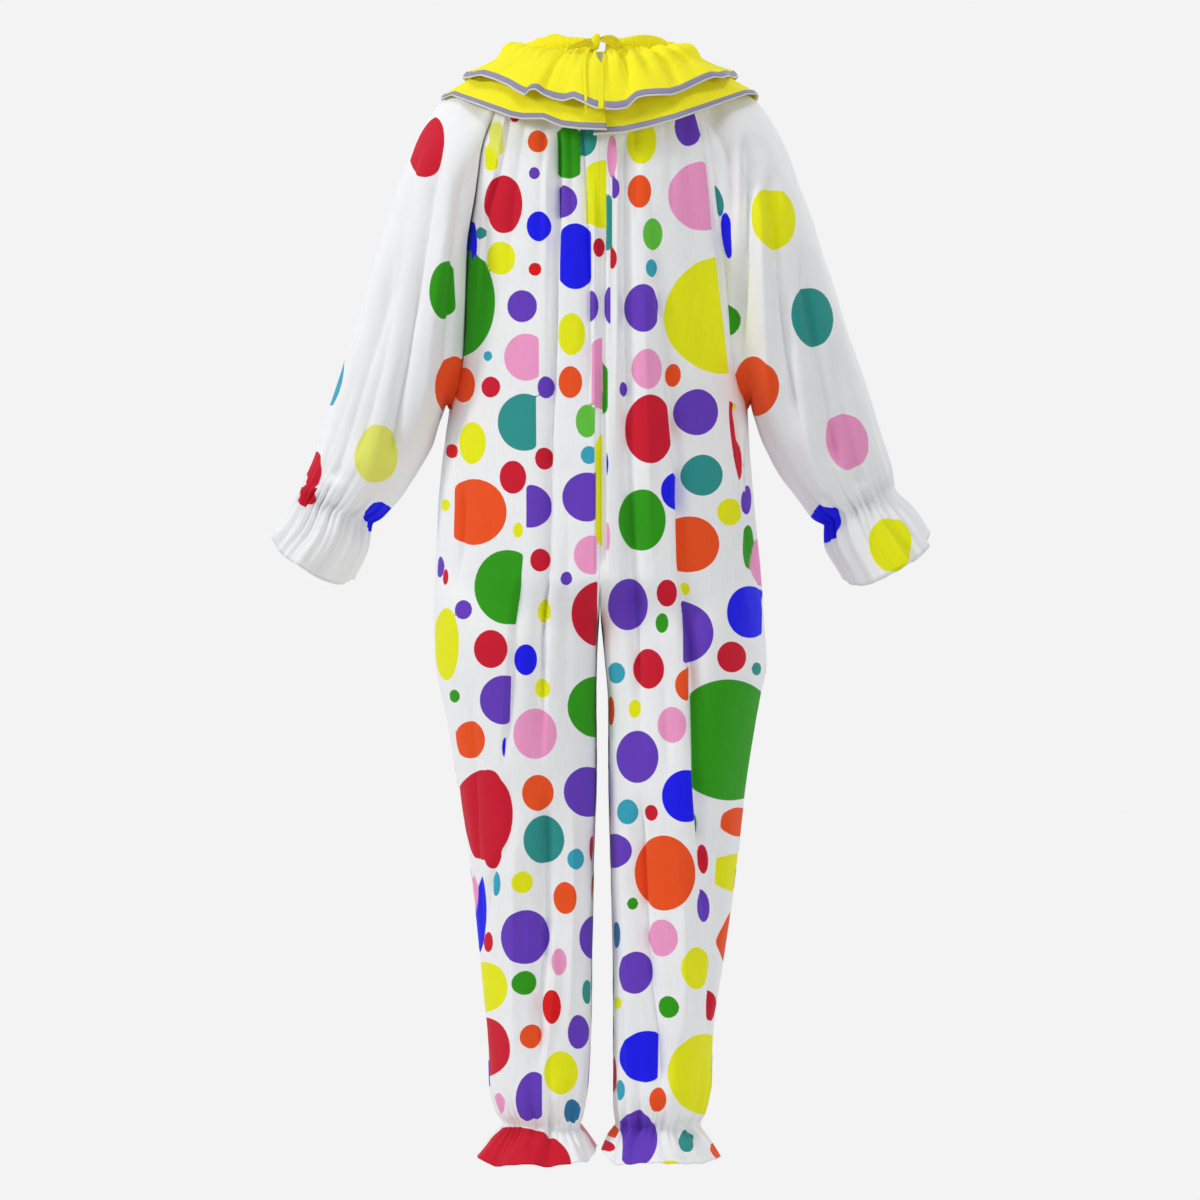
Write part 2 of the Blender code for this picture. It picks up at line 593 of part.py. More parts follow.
def tape_grid(stops):
    """A flat tape along its middle line, as wide as each stop says."""
    middle = [Vector(stop[:3]) for stop in stops]
    upper = []
    lower = []
    steps = []
    for k, stop in enumerate(stops):
        along = (middle[min(k + 1, len(middle) - 1)] - middle[max(k - 1, 0)]).normalized()
        across = along.cross(Vector((0.0, -1.0, 0.0)) if abs(along.y) < 0.8 else Vector((0.0, 0.0, 1.0)))
        across.normalize()
        face = across.cross(along).normalized()
        upper.append(middle[k] + across * stop.half_width)
        lower.append(middle[k] - across * stop.half_width)
        steps.append(face)
    return [upper, middle, lower], [steps, steps, steps]


def build_body(material):
    for side, word in BODY_SIDES.items():
        for face in ("back", "front"):
            rows, inward = body_panel(face, side)
            add_object(f"{face}_{word}", wall_from_grid(rows, inward, WALL, closed=False), material)


def build_sleeves(material):
    for side, word in BODY_SIDES.items():
        rows, inward = sleeve_grid(side)
        add_object(f"sleeve_{word}", wall_from_grid(rows, inward, WALL, closed=True), material)


def build_collar(cloth, ribbon):
    tiers = (("upper", UPPER_TIER, UPPER_WAVES, 0.0), ("lower", LOWER_TIER, LOWER_WAVES, END_TUCK))
    for word, rows, waves, tuck in tiers:
        grid, inward = tier_grid(rows, range(len(rows)), waves, tuck, 0.0)
        add_object(f"collar_{word}", wall_from_grid(grid, inward, WALL, closed=False), cloth)
        lift = SEAM_GAP + TRIM_WALL
        grid, inward = tier_grid(rows, TRIM_ROWS, waves, tuck, lift)
        add_object(f"trim_{word}", wall_from_grid(grid, inward, TRIM_WALL, closed=False), ribbon)
    grid, inward = casing_grid()
    add_object("neck_casing", wall_from_grid(grid, inward, WALL, closed=False), cloth)


def build_tie(material):
    knot = bmesh.new()
    bmesh.ops.create_cube(knot, size=2.0)
    bmesh.ops.scale(knot, vec=KNOT_HALF_SIZE, verts=knot.verts)
    bmesh.ops.bevel(knot, geom=knot.edges[:], offset=KNOT_ROUNDING, segments=2, profile=0.5, affect="EDGES")
    bmesh.ops.translate(knot, vec=KNOT_CENTRE, verts=knot.verts)
    add_object("tie_knot", knot, material)
    for name, stops in TAPES.items():
        rows, inward = tape_grid(stops)
        add_object(name, wall_from_grid(rows, inward, TAPE_WALL, closed=False), material)


def main():
    clear_scene()
    white = cloth_material("spotted_cotton", WHITE, 0.85)
    yellow = cloth_material("yellow_cotton", YELLOW, 0.80)
    grey = cloth_material("grey_ribbon", GREY, 0.60)
    build_body(white)
    build_sleeves(white)
    build_collar(yellow, grey)
    build_tie(yellow)


main()
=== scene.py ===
"""Clown suit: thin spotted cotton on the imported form, with gathers, a two-tier collar, ribbon and a tape bow.

Lengths are in metres, +Z up. The wearer faces +Y and has their left at -X, so the bow at the back faces -Y.
"""

import logging
import math
from dataclasses import dataclass, field
from enum import Enum
from typing import NamedTuple, Sequence, TypeVar

import bmesh
import bpy
import numpy as np
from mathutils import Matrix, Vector


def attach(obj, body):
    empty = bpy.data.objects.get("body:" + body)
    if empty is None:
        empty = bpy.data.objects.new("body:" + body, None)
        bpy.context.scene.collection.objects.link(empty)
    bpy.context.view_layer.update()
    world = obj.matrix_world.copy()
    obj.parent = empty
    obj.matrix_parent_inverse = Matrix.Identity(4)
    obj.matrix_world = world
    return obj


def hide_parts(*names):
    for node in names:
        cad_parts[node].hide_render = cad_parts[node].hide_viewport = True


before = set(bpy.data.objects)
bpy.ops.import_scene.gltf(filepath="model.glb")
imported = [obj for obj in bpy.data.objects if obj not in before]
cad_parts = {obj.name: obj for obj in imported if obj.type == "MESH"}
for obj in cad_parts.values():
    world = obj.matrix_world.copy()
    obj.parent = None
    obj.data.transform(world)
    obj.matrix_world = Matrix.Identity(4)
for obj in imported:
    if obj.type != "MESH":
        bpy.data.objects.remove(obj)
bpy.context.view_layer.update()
LOG = logging.getLogger("clown_suit")

Array = np.ndarray
Socket = bpy.types.NodeSocket
Row = TypeVar("Row")
TURN = 2.0 * math.pi
FAR = 1e4            # farther off than anything on the chart
NOWHERE = 1e9        # farther off than anything in space


class Side(Enum):
    """Which side of the wearer a piece is on."""
    LEFT = -1
    RIGHT = 1

    @property
    def word(self) -> str:
        """Gives the side as it stands in names."""
        return self.name.lower()


class Facing(Enum):
    """The side from which a chart is read; the value is the sign of the reader's place along Y."""
    BACK = -1
    FRONT = 1

    @property
    def word(self) -> str:
        """Gives the facing as it stands in names."""
        return self.name.lower()


class Dye(Enum):
    """The spot colours, as sRGB values."""
    CRIMSON = (212, 30, 53)
    RED = (228, 27, 30)
    ORANGE = (246, 87, 36)
    YELLOW = (240, 242, 27)
    PALE_YELLOW = (238, 241, 112)
    GREEN = (52, 160, 26)
    LIGHT_GREEN = (100, 198, 66)
    TEAL = (51, 152, 147)
    CYAN = (58, 170, 195)
    STEEL = (50, 120, 166)
    BLUE = (30, 30, 246)
    PURPLE = (106, 65, 194)
    PINK = (247, 160, 207)


CRIMSON, RED, ORANGE, YELLOW, PALE, GREEN, LIGHT, TEAL, CYAN, STEEL, BLUE, PURPLE, PINK = Dye


def table(kind: type[Row], *rows: Sequence[object]) -> tuple[Row, ...]:
    """Writes a table out as rows of one kind."""
    return tuple(kind(*row) for row in rows)


def linear(colour: Sequence[float]) -> tuple[float, float, float, float]:
    """Turns an sRGB colour from 0 to 255 into a linear colour with full alpha.

    Args:
        colour: Red, green and blue, from 0 to 255.

    Returns:
        The linear red, green, blue and alpha.
    """
    shares = [value / 255.0 for value in colour[:3]]
    red, green, blue = (share / 12.92 if share <= 0.04045 else ((share + 0.055) / 1.055) ** 2.4
                        for share in shares)
    return (red, green, blue, 1.0)


def smooth_step(low: float, high: float, value: Array) -> Array:
    """Rises softly from 0 at low to 1 at high."""
    share = np.clip((value - low) / (high - low), 0.0, 1.0)
    return share * share * (3.0 - 2.0 * share)


def unit(vectors: Array) -> Array:
    """Scales vectors to length 1."""
    return vectors / np.maximum(np.linalg.norm(vectors, axis=-1, keepdims=True), 1e-12)


def hump(value: Array, width: float, power: float = 2.0) -> Array:
    """Falls softly from 1 at no distance; width is where it has fallen to about a third."""
    return np.exp(-(value / width) ** power)


def flow_through(values: Array, at: Array) -> Array:
    """Runs a smooth line through evenly numbered values without overshooting any of them.

    Args:
        values: The stations, one per whole number, along the first axis.
        at: Where to read the line, in station numbers.

    Returns:
        One value for each entry of at, along the first axis.
    """
    steps = np.diff(values, axis=0)
    slopes = np.zeros_like(values)
    product = steps[:-1] * steps[1:]
    total = steps[:-1] + steps[1:]
    slopes[1:-1] = np.where(product > 0.0, 2.0 * product / np.where(total == 0.0, 1.0, total), 0.0)
    slopes[0], slopes[-1] = steps[0], steps[-1]
    low = np.clip(np.floor(at).astype(int), 0, len(values) - 2)
    shape = (-1,) + (1,) * (values.ndim - 1)
    t = (at - low).reshape(shape)
    start, end = values[low], values[low + 1]
    return (start * (1 + 2 * t) * (1 - t) ** 2 + slopes[low] * t * (1 - t) ** 2
            + end * t * t * (3 - 2 * t) + slopes[low + 1] * t * t * (t - 1))


@dataclass(frozen=True)
class Chart:
    """Squared paper held level behind or before the suit, on which creases and spots are drawn.

    Attributes:
        square: The size of a square at the suit's middle plane.
        middle: The column on the suit's centre line, and the row at level.
        level: The height of the middle row.
        distance: How far away the reader stands.
    """
    square: float = 0.00128
    middle: float = 600.0
    level: float = -0.646
    distance: float = 6.0

    def read(self, points: Array, facing: Facing) -> Array:
        """Gives the column and row at which points are seen.

        Args:
            points: Points in the suit's own frame.
            facing: The side from which they are seen.

        Returns:
            The columns and rows, along a last axis of two.
        """
        away = self.distance - facing.value * points[..., 1]
        scale = self.distance / (away * self.square)
        column = self.middle - facing.value * points[..., 0] * scale
        row = self.middle - (points[..., 2] - self.level) * scale
        return np.stack([column, row], axis=-1)


CHART = Chart()
TURNED_TO_READER = 0.03    # the least that cloth may face the reader and still be read on the chart
FIND_REACH = 1.5           # how far past the nearest point of a sheet a place is looked for, in cells
FLAT_CELL = 1e-6


@dataclass
class ClothGrid:
    """A sheet of cloth: rows of points, with the way out of the suit and flat coordinates at each."""
    points: Array
    outward: Array
    flat: Array
    closed: bool = False

    @property
    def to_hem(self) -> Array:
        """Gives the distance from each point to the last row, along the cloth."""
        return self.flat[-1:, :, 1] - self.flat[..., 1]

    @property
    def area(self) -> float:
        """Adds up the area of the cells."""
        first = self.points[1:, 1:] - self.points[:-1, :-1]
        second = self.points[1:, :-1] - self.points[:-1, 1:]
        return float(np.linalg.norm(np.cross(first, second), axis=2).sum() / 2)

    @classmethod
    def over(cls, points: Array, middles: Array, closed: bool = False) -> "ClothGrid":
        """Works out the outward directions and the flat coordinates of a form.

        Args:
            points: Rows and columns of points.
            middles: A point inside the suit for each row.
            closed: Whether the last column repeats the first.

        Returns:
            The finished grid.
        """
        wide = np.concatenate([points[:, -2:-1], points, points[:, 1:2]], axis=1) if closed else points
        across = np.gradient(wide, axis=1)
        if closed:
            across = across[:, 1:-1]
        outward = unit(np.cross(across, np.gradient(points, axis=0)))
        if np.sum(outward * (points - middles[:, None, :])) < 0.0:
            outward = -outward
        flat = np.zeros(points.shape[:2] + (2,))
        flat[:, 1:, 0] = np.cumsum(np.linalg.norm(np.diff(points, axis=1), axis=2), axis=1)
        flat[1:, :, 1] = np.cumsum(np.linalg.norm(np.diff(points, axis=0), axis=2), axis=0)
        return cls(points, outward, flat, closed)

    def pushed(self, height: Array) -> "ClothGrid":
        """Gives the sheet with its points moved out by a height each, keeping the flat coordinates."""
        return ClothGrid(self.points + self.outward * height[..., None], self.outward, self.flat, self.closed)

    def find(self, column: float, row: float, facing: Facing) -> tuple[Array, Array]:
        """Finds the point of the sheet that is seen at a place on the chart.

        Args:
            column: The chart's column.
            row: The chart's row.
            facing: The side from which the chart is read.

        Returns:
            The point and the way out of the suit there.
        """
        seen = CHART.read(self.points, facing)
        miss = np.sum((seen - (column, row)) ** 2, axis=2)
        miss = np.where(self.outward[..., 1] * facing.value > TURNED_TO_READER, miss, NOWHERE)
        r, c = np.unravel_index(np.argmin(miss), miss.shape)
        r = int(np.clip(r, 1, self.points.shape[0] - 2))
        c = int(np.clip(c, 1, self.points.shape[1] - 2))
        (seen_down, seen_across), (down, across) = (
            ((part[r + 1, c] - part[r - 1, c]) / 2, (part[r, c + 1] - part[r, c - 1]) / 2)
            for part in (seen, self.points))
        slopes = np.stack([seen_down, seen_across], axis=1)
        if abs(np.linalg.det(slopes)) < FLAT_CELL:
            return self.points[r, c], self.outward[r, c]
        extra = np.linalg.solve(slopes, np.array((column, row)) - seen[r, c])
        extra = np.clip(extra, -FIND_REACH, FIND_REACH)
        return self.points[r, c] + extra[0] * down + extra[1] * across, self.outward[r, c]


class Crease(NamedTuple):
    """A fold line on the chart: a trough where depth is above 0, a ridge where it is below."""
    path: tuple[tuple[float, float], ...]   # columns and rows, from the top down
    depth: float
    left: float                             # how far the slope runs on the reader's left
    right: float
    fade_top: float = 0.15                  # share of the line over which the fold grows
    fade_foot: float = 0.25
    lip: float = 0.0                        # height of the ridge beside it, on the right where below 0


class Spot(NamedTuple):
    """A printed spot on the chart. Keep limits it to the columns between folds that hide the rest of it."""
    dye: Dye
    column: float
    row: float
    width: float
    height: float
    tilt: float = 0.0
    keep: tuple[float, float] = (-FAR, FAR)
    lean: float = 0.0      # how many columns the limits move with each row


CREASE_NODES = 26
CREASE_REACH = 3.0         # how far from its line a crease is worked out, in slopes
CREASE_SHARPNESS = 1.35
CREASE_GAIN = 1.75
LIP_AWAY = 0.0052
LIP_WIDTH = 0.0030
NO_LENGTH = 1e-6


def spread_line(path: Sequence[tuple[float, float]], count: int) -> list[tuple[float, float]]:
    """Draws a smooth line through a few chart places.

    Args:
        path: Columns and rows.
        count: How many places to give back.

    Returns:
        The places along the smooth line.
    """
    stations = np.array(path, dtype=float)
    if len(stations) == 2:
        share = np.linspace(0.0, 1.0, count)[:, None]
        line = stations[0] + (stations[1] - stations[0]) * share
    else:
        line = flow_through(stations, np.linspace(0.0, len(stations) - 1.0, count))
    return [(float(column), float(row)) for column, row in line]


def crease_height(grid: ClothGrid, crease: Crease, facing: Facing) -> Array:
    """Works out how far a crease moves each point of a sheet.

    Args:
        grid: The smooth sheet.
        crease: The fold line.
        facing: The side from which the chart is read.

    Returns:
        A height for each point, below 0 in a trough.
    """
    found = [grid.find(column, row, facing)[0] for column, row in spread_line(crease.path, CREASE_NODES)]
    line = np.array(found)
    reach = CREASE_REACH * max(crease.left, crease.right)
    low, high = line.min(axis=0) - reach, line.max(axis=0) + reach
    near = np.all((grid.points > low) & (grid.points < high), axis=2)
    points, outward = grid.points[near], grid.outward[near]
    best = np.full(len(points), NOWHERE)
    signed = np.zeros(len(points))
    along = np.zeros(len(points))
    steps = np.diff(line, axis=0)
    lengths = np.linalg.norm(steps, axis=1)
    total = float(lengths.sum())
    start = 0.0
    for first, step, length in zip(line[:-1], steps, lengths):
        if length < NO_LENGTH:
            continue
        share = np.clip(((points - first) @ step) / (length * length), 0.0, 1.0)
        offset = points - first - share[:, None] * step
        distance = np.linalg.norm(offset, axis=1)
        side = np.sign(np.einsum("ij,ij->i", offset, np.cross(outward, step)))
        closer = distance < best
        best = np.where(closer, distance, best)
        signed = np.where(closer, side * distance, signed)
        along = np.where(closer, (start + share * length) / total, along)
        start += length
    slope = np.where(signed < 0.0, crease.left, crease.right)
    taper = np.ones(len(points))
    if crease.fade_top > 0.0:
        taper *= smooth_step(0.0, crease.fade_top, along)
    if crease.fade_foot > 0.0:
        taper *= smooth_step(0.0, crease.fade_foot, 1.0 - along)
    height = np.zeros(grid.points.shape[:2])
    height[near] = -CREASE_GAIN * crease.depth * taper * hump(best, slope, CREASE_SHARPNESS)
    if crease.lip != 0.0:
        beside = signed + math.copysign(LIP_AWAY, crease.lip)
        height[near] += abs(crease.lip) * taper * hump(beside, LIP_WIDTH)
    return height


def all_creases(grid: ClothGrid, *sets: tuple[Sequence[Crease], Facing]) -> Array:
    """Adds up the fold lines of a sheet.

    Args:
        grid: The smooth sheet.
        sets: Fold lines, each set with the side from which its chart is read.

    Returns:
        A height for each point.
    """
    total = np.zeros(grid.points.shape[:2])
    for creases, facing in sets:
        for crease in creases:
            total += crease_height(grid, crease, facing)
    return total


SPOT_NONE = 1.0
SPOT_WRAP = 1.14     # how far a spot may reach from its middle, in its own radii
SPOT_TURNED = 0.45   # the most that a spot's place may be taken to face away
SPOT_SEARCH = 0.03   # how far past a spot its edge is still worked out
SPOT_BEHIND = -0.4   # the least that cloth may face the reader and still take a charted spot
SPOT_FADE = 0.10     # how fast a spot draws in where the cloth faces away
SPOT_MIDDLE = 1e-6


@dataclass
class SpotPrint:
    """A sheet's spots: the distance from each point to the nearest spot's edge, and that spot's colour."""
    edge: Array
    colour: Array

    @classmethod
    def charted(cls, grid: ClothGrid, spots: Sequence[Spot]) -> "SpotPrint":
        """Prints a sheet with its charted spots."""
        shape = grid.points.shape[:2]
        prints = cls(np.full(shape, SPOT_NONE), np.ones(shape + (4,)))
        for spot in spots:
            prints.add(grid, spot, Facing.BACK)
        return prints

    def ink(self, near: Array, edge: Array, dye: Dye) -> None:
        """Prints one spot where its edge is the nearest.

        Args:
            near: Which points the spot may reach.
            edge: The distance from each of them to the spot's edge.
            dye: The spot's dye.
        """
        closer = edge < self.edge[near]
        self.edge[near] = np.where(closer, edge, self.edge[near])
        self.colour[near] = np.where(closer[:, None], np.array(linear(dye.value)), self.colour[near])

    def add(self, grid: ClothGrid, spot: Spot, facing: Facing) -> None:
        """Prints a charted spot.

        Args:
            grid: The smooth sheet.
            spot: The spot on the chart.
            facing: The side from which the chart is read.
        """
        centre, out = grid.find(spot.column, spot.row, facing)
        a, b = spot.width / 2, spot.height / 2
        turned = max(float(out[1]) * facing.value, SPOT_TURNED)
        most = SPOT_WRAP * max(b, a / turned) * CHART.square
        away = np.linalg.norm(grid.points - centre, axis=2)
        toward = grid.outward[..., 1] * facing.value
        near = (away < most + SPOT_SEARCH) & (toward > SPOT_BEHIND)
        place = CHART.read(grid.points[near], facing) - (spot.column, spot.row)
        turn = math.radians(spot.tilt)
        x = place[:, 0] * math.cos(turn) + place[:, 1] * math.sin(turn)
        y = -place[:, 0] * math.sin(turn) + place[:, 1] * math.cos(turn)
        ring = np.sqrt((x / a) ** 2 + (y / b) ** 2)
        slope = np.sqrt((x / a ** 2) ** 2 + (y / b ** 2) ** 2)
        edge = np.where(ring > SPOT_MIDDLE, ring * (ring - 1.0) / np.maximum(slope, SPOT_MIDDLE), -min(a, b))
        upright = place[:, 0] + spot.column - spot.lean * place[:, 1]
        edge = np.maximum(edge, np.maximum(spot.keep[0] - upright, upright - spot.keep[1]))
        edge = np.maximum(edge * CHART.square, away[near] - most)
        edge += SPOT_FADE * np.maximum(-toward[near], 0.0)
        self.ink(near, edge, spot.dye)


@dataclass(frozen=True)
class Crumple:
    """Small uneven waves that run on from piece to piece, because they depend only on the place in space."""
    seed: int
    waves: int
    shortest: float
    longest: float
    upright: float     # how much longer the waves are up and down than round the suit
    amount: float

    def height(self, points: Array) -> Array:
        """Gives the height of the crumple at each point."""
        draw = np.random.default_rng(self.seed)
        total = np.zeros(points.shape[:-1])
        for _ in range(self.waves):
            length = draw.uniform(self.shortest, self.longest)
            heading = draw.uniform(0.0, TURN)
            lean = draw.normal(0.0, 1.0) / self.upright
            wave = np.array((math.cos(heading), math.sin(heading), lean)) * (TURN / length)
            total += np.sin(points @ wave + draw.uniform(0.0, TURN)) * (length / self.longest)
        return total * self.amount / math.sqrt(self.waves)


CRINKLE = Crumple(13, 26, 0.012, 0.030, 2.2, 0.00022)
FOLD_ROUNDNESS = 0.02
FOLD_LEVEL = 0.62          # sets the valleys of gathers below the sheet and their ridges above it


def gathers(angle: Array, count: int, seed: int) -> Array:
    """Gives round ridges with narrow valleys between, unevenly spaced round a drawn-in edge.

    Args:
        angle: How far round, in turns.
        count: How many folds there are in a turn.
        seed: The seed of the unevenness.

    Returns:
        Heights from about -0.6 in the valleys to 0.4 on the ridges.
    """
    draw = np.random.default_rng(seed)
    stray = np.zeros_like(angle)
    for k in (1, 2, 3, 5):
        stray += draw.uniform(0.15, 0.5) / k * np.sin(TURN * (k * angle + draw.uniform()))
    swell = 1.0 + 0.35 * np.sin(TURN * (3 * angle + draw.uniform()))
    swell += 0.25 * np.sin(TURN * (7 * angle + draw.uniform()))
    wave = np.sin(math.pi * (count * angle + stray))
    return (np.sqrt(wave * wave + FOLD_ROUNDNESS) - FOLD_LEVEL) * swell


class GatherSet(NamedTuple):
    """Gathers of one size round a drawn-in edge."""
    count: int       # folds in a turn
    height: float
    seed: int = 0    # added to the piece's own seed

    def at(self, turn: Array, seed: int) -> Array:
        """Gives the height of the gathers."""
        return gathers(turn, self.count, seed + self.seed) * self.height


# ---- finishes


class Nodes:
    """A short way to lay out a material's nodes."""

    def __init__(self, name: str) -> None:
        """Starts an empty material with its Principled shader."""
        self.material = bpy.data.materials.new(name)
        self.material.use_nodes = True
        self.tree = self.material.node_tree
        self.shader = self.tree.nodes["Principled BSDF"]

    def feed(self, socket: Socket, value: object) -> None:
        """Joins a socket to another one, or gives it a constant value."""
        if isinstance(value, Socket):
            self.tree.links.new(value, socket)
        else:
            socket.default_value = value

    def fill(self, node: bpy.types.Node, inputs: dict[str | int, object]) -> None:
        """Feeds several inputs of a node."""
        for key, value in inputs.items():
            self.feed(node.inputs[key], value)

    def add(self, kind: str, inputs: dict[str | int, object] | None = None, **settings: object
            ) -> bpy.types.Node:
        """Adds a node.

        Args:
            kind: The node's type.
            inputs: Sockets or values for its inputs.
            settings: Attributes of the node.

        Returns:
            The new node.
        """
        node = self.tree.nodes.new(kind)
        for key, value in settings.items():
            setattr(node, key, value)
        self.fill(node, inputs or {})
        return node

    def math(self, operation: str, first: object, second: object = None) -> Socket:
        """Adds a Math node.

        Args:
            operation: The node's operation.
            first: A socket or a number.
            second: A socket or a number, where the operation takes two.

        Returns:
            The result's socket.
        """
        inputs = {0: first} if second is None else {0: first, 1: second}
        return self.add("ShaderNodeMath", inputs, operation=operation).outputs[0]

    def product(self, first: object, second: object) -> Socket:
        """Multiplies two sockets or numbers."""
        return self.math("MULTIPLY", first, second)

    def wave(self, value: Socket, length: float) -> Socket:
        """Makes a value into waves of a length."""
        return self.math("SINE", self.product(value, TURN / length))

    def ramp(self, value: Socket, low: float, high: float, start: float = 0.0, end: float = 1.0) -> Socket:
        """Maps a value from low..high to start..end, held at both ends."""
        inputs = {"Value": value, "From Min": low, "From Max": high, "To Min": start, "To Max": end}
        return self.add("ShaderNodeMapRange", inputs, clamp=True).outputs["Result"]

    def noise(self, place: Socket, scale: float, detail: float) -> Socket:
        """Adds a noise pattern."""
        return self.add("ShaderNodeTexNoise", {"Vector": place, "Scale": scale, "Detail": detail}).outputs[0]

    def mix(self, factor: object, first: object, second: object, blend: str = "MIX") -> Socket:
        """Mixes two colours, each a socket or a linear colour."""
        node = self.add("ShaderNodeMix", data_type="RGBA", blend_type=blend)
        self.feed(node.inputs["Factor"], factor)
        for name, value in (("A", first), ("B", second)):
            self.feed([s for s in node.inputs if s.name == name and s.type == "RGBA"][0], value)
        return [s for s in node.outputs if s.type == "RGBA"][0]

    def attribute(self, name: str, output: str = "Fac") -> Socket:
        """Reads a mesh attribute."""
        return self.add("ShaderNodeAttribute", attribute_name=name, attribute_type="GEOMETRY").outputs[output]


SLUB_SCALE = 260.0         # uneven threads
CLOUD_SCALE = 9.0          # broad patches of tone
SPOT_RAGGED = 0.0006
SPOT_SOFT = 0.00035        # half the width of a spot's soft edge
EDGING_SOFT = 0.0003
STITCH_LENGTH = 0.0026
STITCH_WIDTH = (0.0003, 0.0011)


@dataclass(frozen=True)
class CottonFinish:
    """Woven cotton: fine ribs up and down, or a slanting twill, over a faint crumple."""
    name: str
    base: tuple[float, float, float]
    shade: tuple[float, float, float]
    rib: float = 0.0011
    pick: float = 0.0008
    streak: float = 0.0026
    streak_length: float = 14.0
    streak_shade: float = 0.05
    slant: float = 0.0
    weave_height: float = 0.00010
    roughness: float = 0.88
    sheen: float = 0.06
    spotted: bool = False
    stitch_at: float = 0.0
    edging: tuple[float, float, float] | None = None
    edging_width: float = 0.0

    def dyed(self, nodes: Nodes, slub: Socket, cloud: Socket) -> Socket:
        """Lays the ground colour, the spots and the edging.

        Args:
            nodes: The material's nodes.
            slub: The uneven threads.
            cloud: The broad patches of tone.

        Returns:
            The cloth's colour before its threads are shaded.
        """
        colour = nodes.mix(nodes.ramp(cloud, 0.3, 0.7), linear(self.base), linear(self.shade))
        if self.spotted:
            ragged = nodes.product(nodes.math("SUBTRACT", slub, 0.5), SPOT_RAGGED)
            edge = nodes.math("ADD", nodes.attribute("spot_edge"), ragged)
            inked = nodes.ramp(edge, -SPOT_SOFT, SPOT_SOFT, 1.0, 0.0)
            ink = nodes.mix(nodes.ramp(cloud, 0.3, 0.7, 0.0, 0.5), nodes.attribute("spot_colour", "Color"),
                            linear(self.base), "MULTIPLY")
            colour = nodes.mix(inked, colour, ink)
        if self.edging is not None:
            rim = nodes.ramp(nodes.attribute("hem"), self.edging_width - EDGING_SOFT,
                             self.edging_width + EDGING_SOFT, 1.0, 0.0)
            colour = nodes.mix(rim, colour, linear(self.edging))
        return colour

    def stitched(self, nodes: Nodes, height: Socket, across: Socket) -> Socket:
        """Sinks the row of hem stitches into the weave.

        Args:
            nodes: The material's nodes.
            height: The weave's height.
            across: The place across the cloth.

        Returns:
            The height with its stitches.
        """
        off = nodes.math("ABSOLUTE", nodes.math("SUBTRACT", nodes.attribute("hem"), self.stitch_at))
        row = nodes.ramp(off, *STITCH_WIDTH, 1.0, 0.0)
        beat = nodes.ramp(nodes.wave(across, STITCH_LENGTH), -0.3, 0.3)
        height = nodes.math("SUBTRACT", height, nodes.product(row, 5.0))
        return nodes.math("ADD", height, nodes.product(nodes.product(row, beat), 3.0))

    def make(self) -> bpy.types.Material:
        """Builds the material."""
        nodes = Nodes(self.name)
        flat = nodes.add("ShaderNodeUVMap", uv_map="cloth").outputs["UV"]
        split = nodes.add("ShaderNodeSeparateXYZ", {0: flat})
        across, down = split.outputs["X"], split.outputs["Y"]
        slanted = nodes.math("ADD", across, nodes.product(down, self.slant))
        rib, pick = nodes.wave(slanted, self.rib), nodes.wave(down, self.pick)
        place = nodes.add("ShaderNodeTexCoord").outputs["Object"]
        slub, cloud = nodes.noise(place, SLUB_SCALE, 3.0), nodes.noise(place, CLOUD_SCALE, 4.0)
        weave = nodes.math("ADD", nodes.product(rib, 0.5), nodes.product(pick, 0.25))
        weave = nodes.math("ADD", weave, nodes.product(slub, 0.9))
        colour = self.dyed(nodes, slub, cloud)
        stretch = nodes.add("ShaderNodeCombineXYZ", {
            "X": nodes.product(slanted, 1.0 / self.streak),
            "Y": nodes.product(down, 1.0 / (self.streak * self.streak_length))})
        streak = nodes.noise(stretch.outputs[0], 1.0, 2.0)
        thread = nodes.product(nodes.ramp(weave, -0.9, 1.2, 0.94, 1.0),
                               nodes.ramp(streak, 0.25, 0.75, 1.0 - self.streak_shade, 1.0))
        grey = nodes.add("ShaderNodeCombineColor", {0: thread, 1: thread, 2: thread})
        height = self.stitched(nodes, weave, across) if self.stitch_at > 0.0 else weave
        bump = nodes.add("ShaderNodeBump", {"Strength": 0.6, "Distance": self.weave_height, "Height": height})
        nodes.fill(nodes.shader, {
            "Base Color": nodes.mix(1.0, colour, grey.outputs[0], "MULTIPLY"), "Normal": bump.outputs[0],
            "Roughness": self.roughness, "Sheen Weight": self.sheen, "Sheen Roughness": 0.5,
            "Specular IOR Level": 0.12})
        return nodes.material


WHITE, WHITE_SHADE = (249, 250, 251), (244, 245, 247)
SPOTTED_COTTON = CottonFinish(
    "spotted_cotton", WHITE, WHITE_SHADE, rib=0.0013, pick=0.0007, spotted=True, stitch_at=0.0100)
SPOTTED_SLEEVE = CottonFinish(
    "spotted_cotton_sleeve", WHITE, WHITE_SHADE, rib=0.0015, pick=0.0009, slant=0.8, spotted=True,
    stitch_at=0.0100)
YELLOW_COTTON = CottonFinish(
    "yellow_cotton", (255, 247, 46), (250, 241, 36), rib=0.0010, pick=0.0010, slant=0.6, weave_height=0.00007,
    sheen=0.05, edging=(232, 228, 238), edging_width=0.0030)
YELLOW_TAPE = CottonFinish(
    "yellow_tape", (253, 243, 40), (246, 235, 32), rib=0.0008, weave_height=0.00006, sheen=0.05)
# A darker yellow for the bow's loops, on both faces: painted shade in place of the shade inside the loops.
YELLOW_TAPE_PAINTED_SHADE = CottonFinish(
    "yellow_tape_back", (222, 208, 30), (208, 194, 26), rib=0.0008, weave_height=0.00006, sheen=0.05)
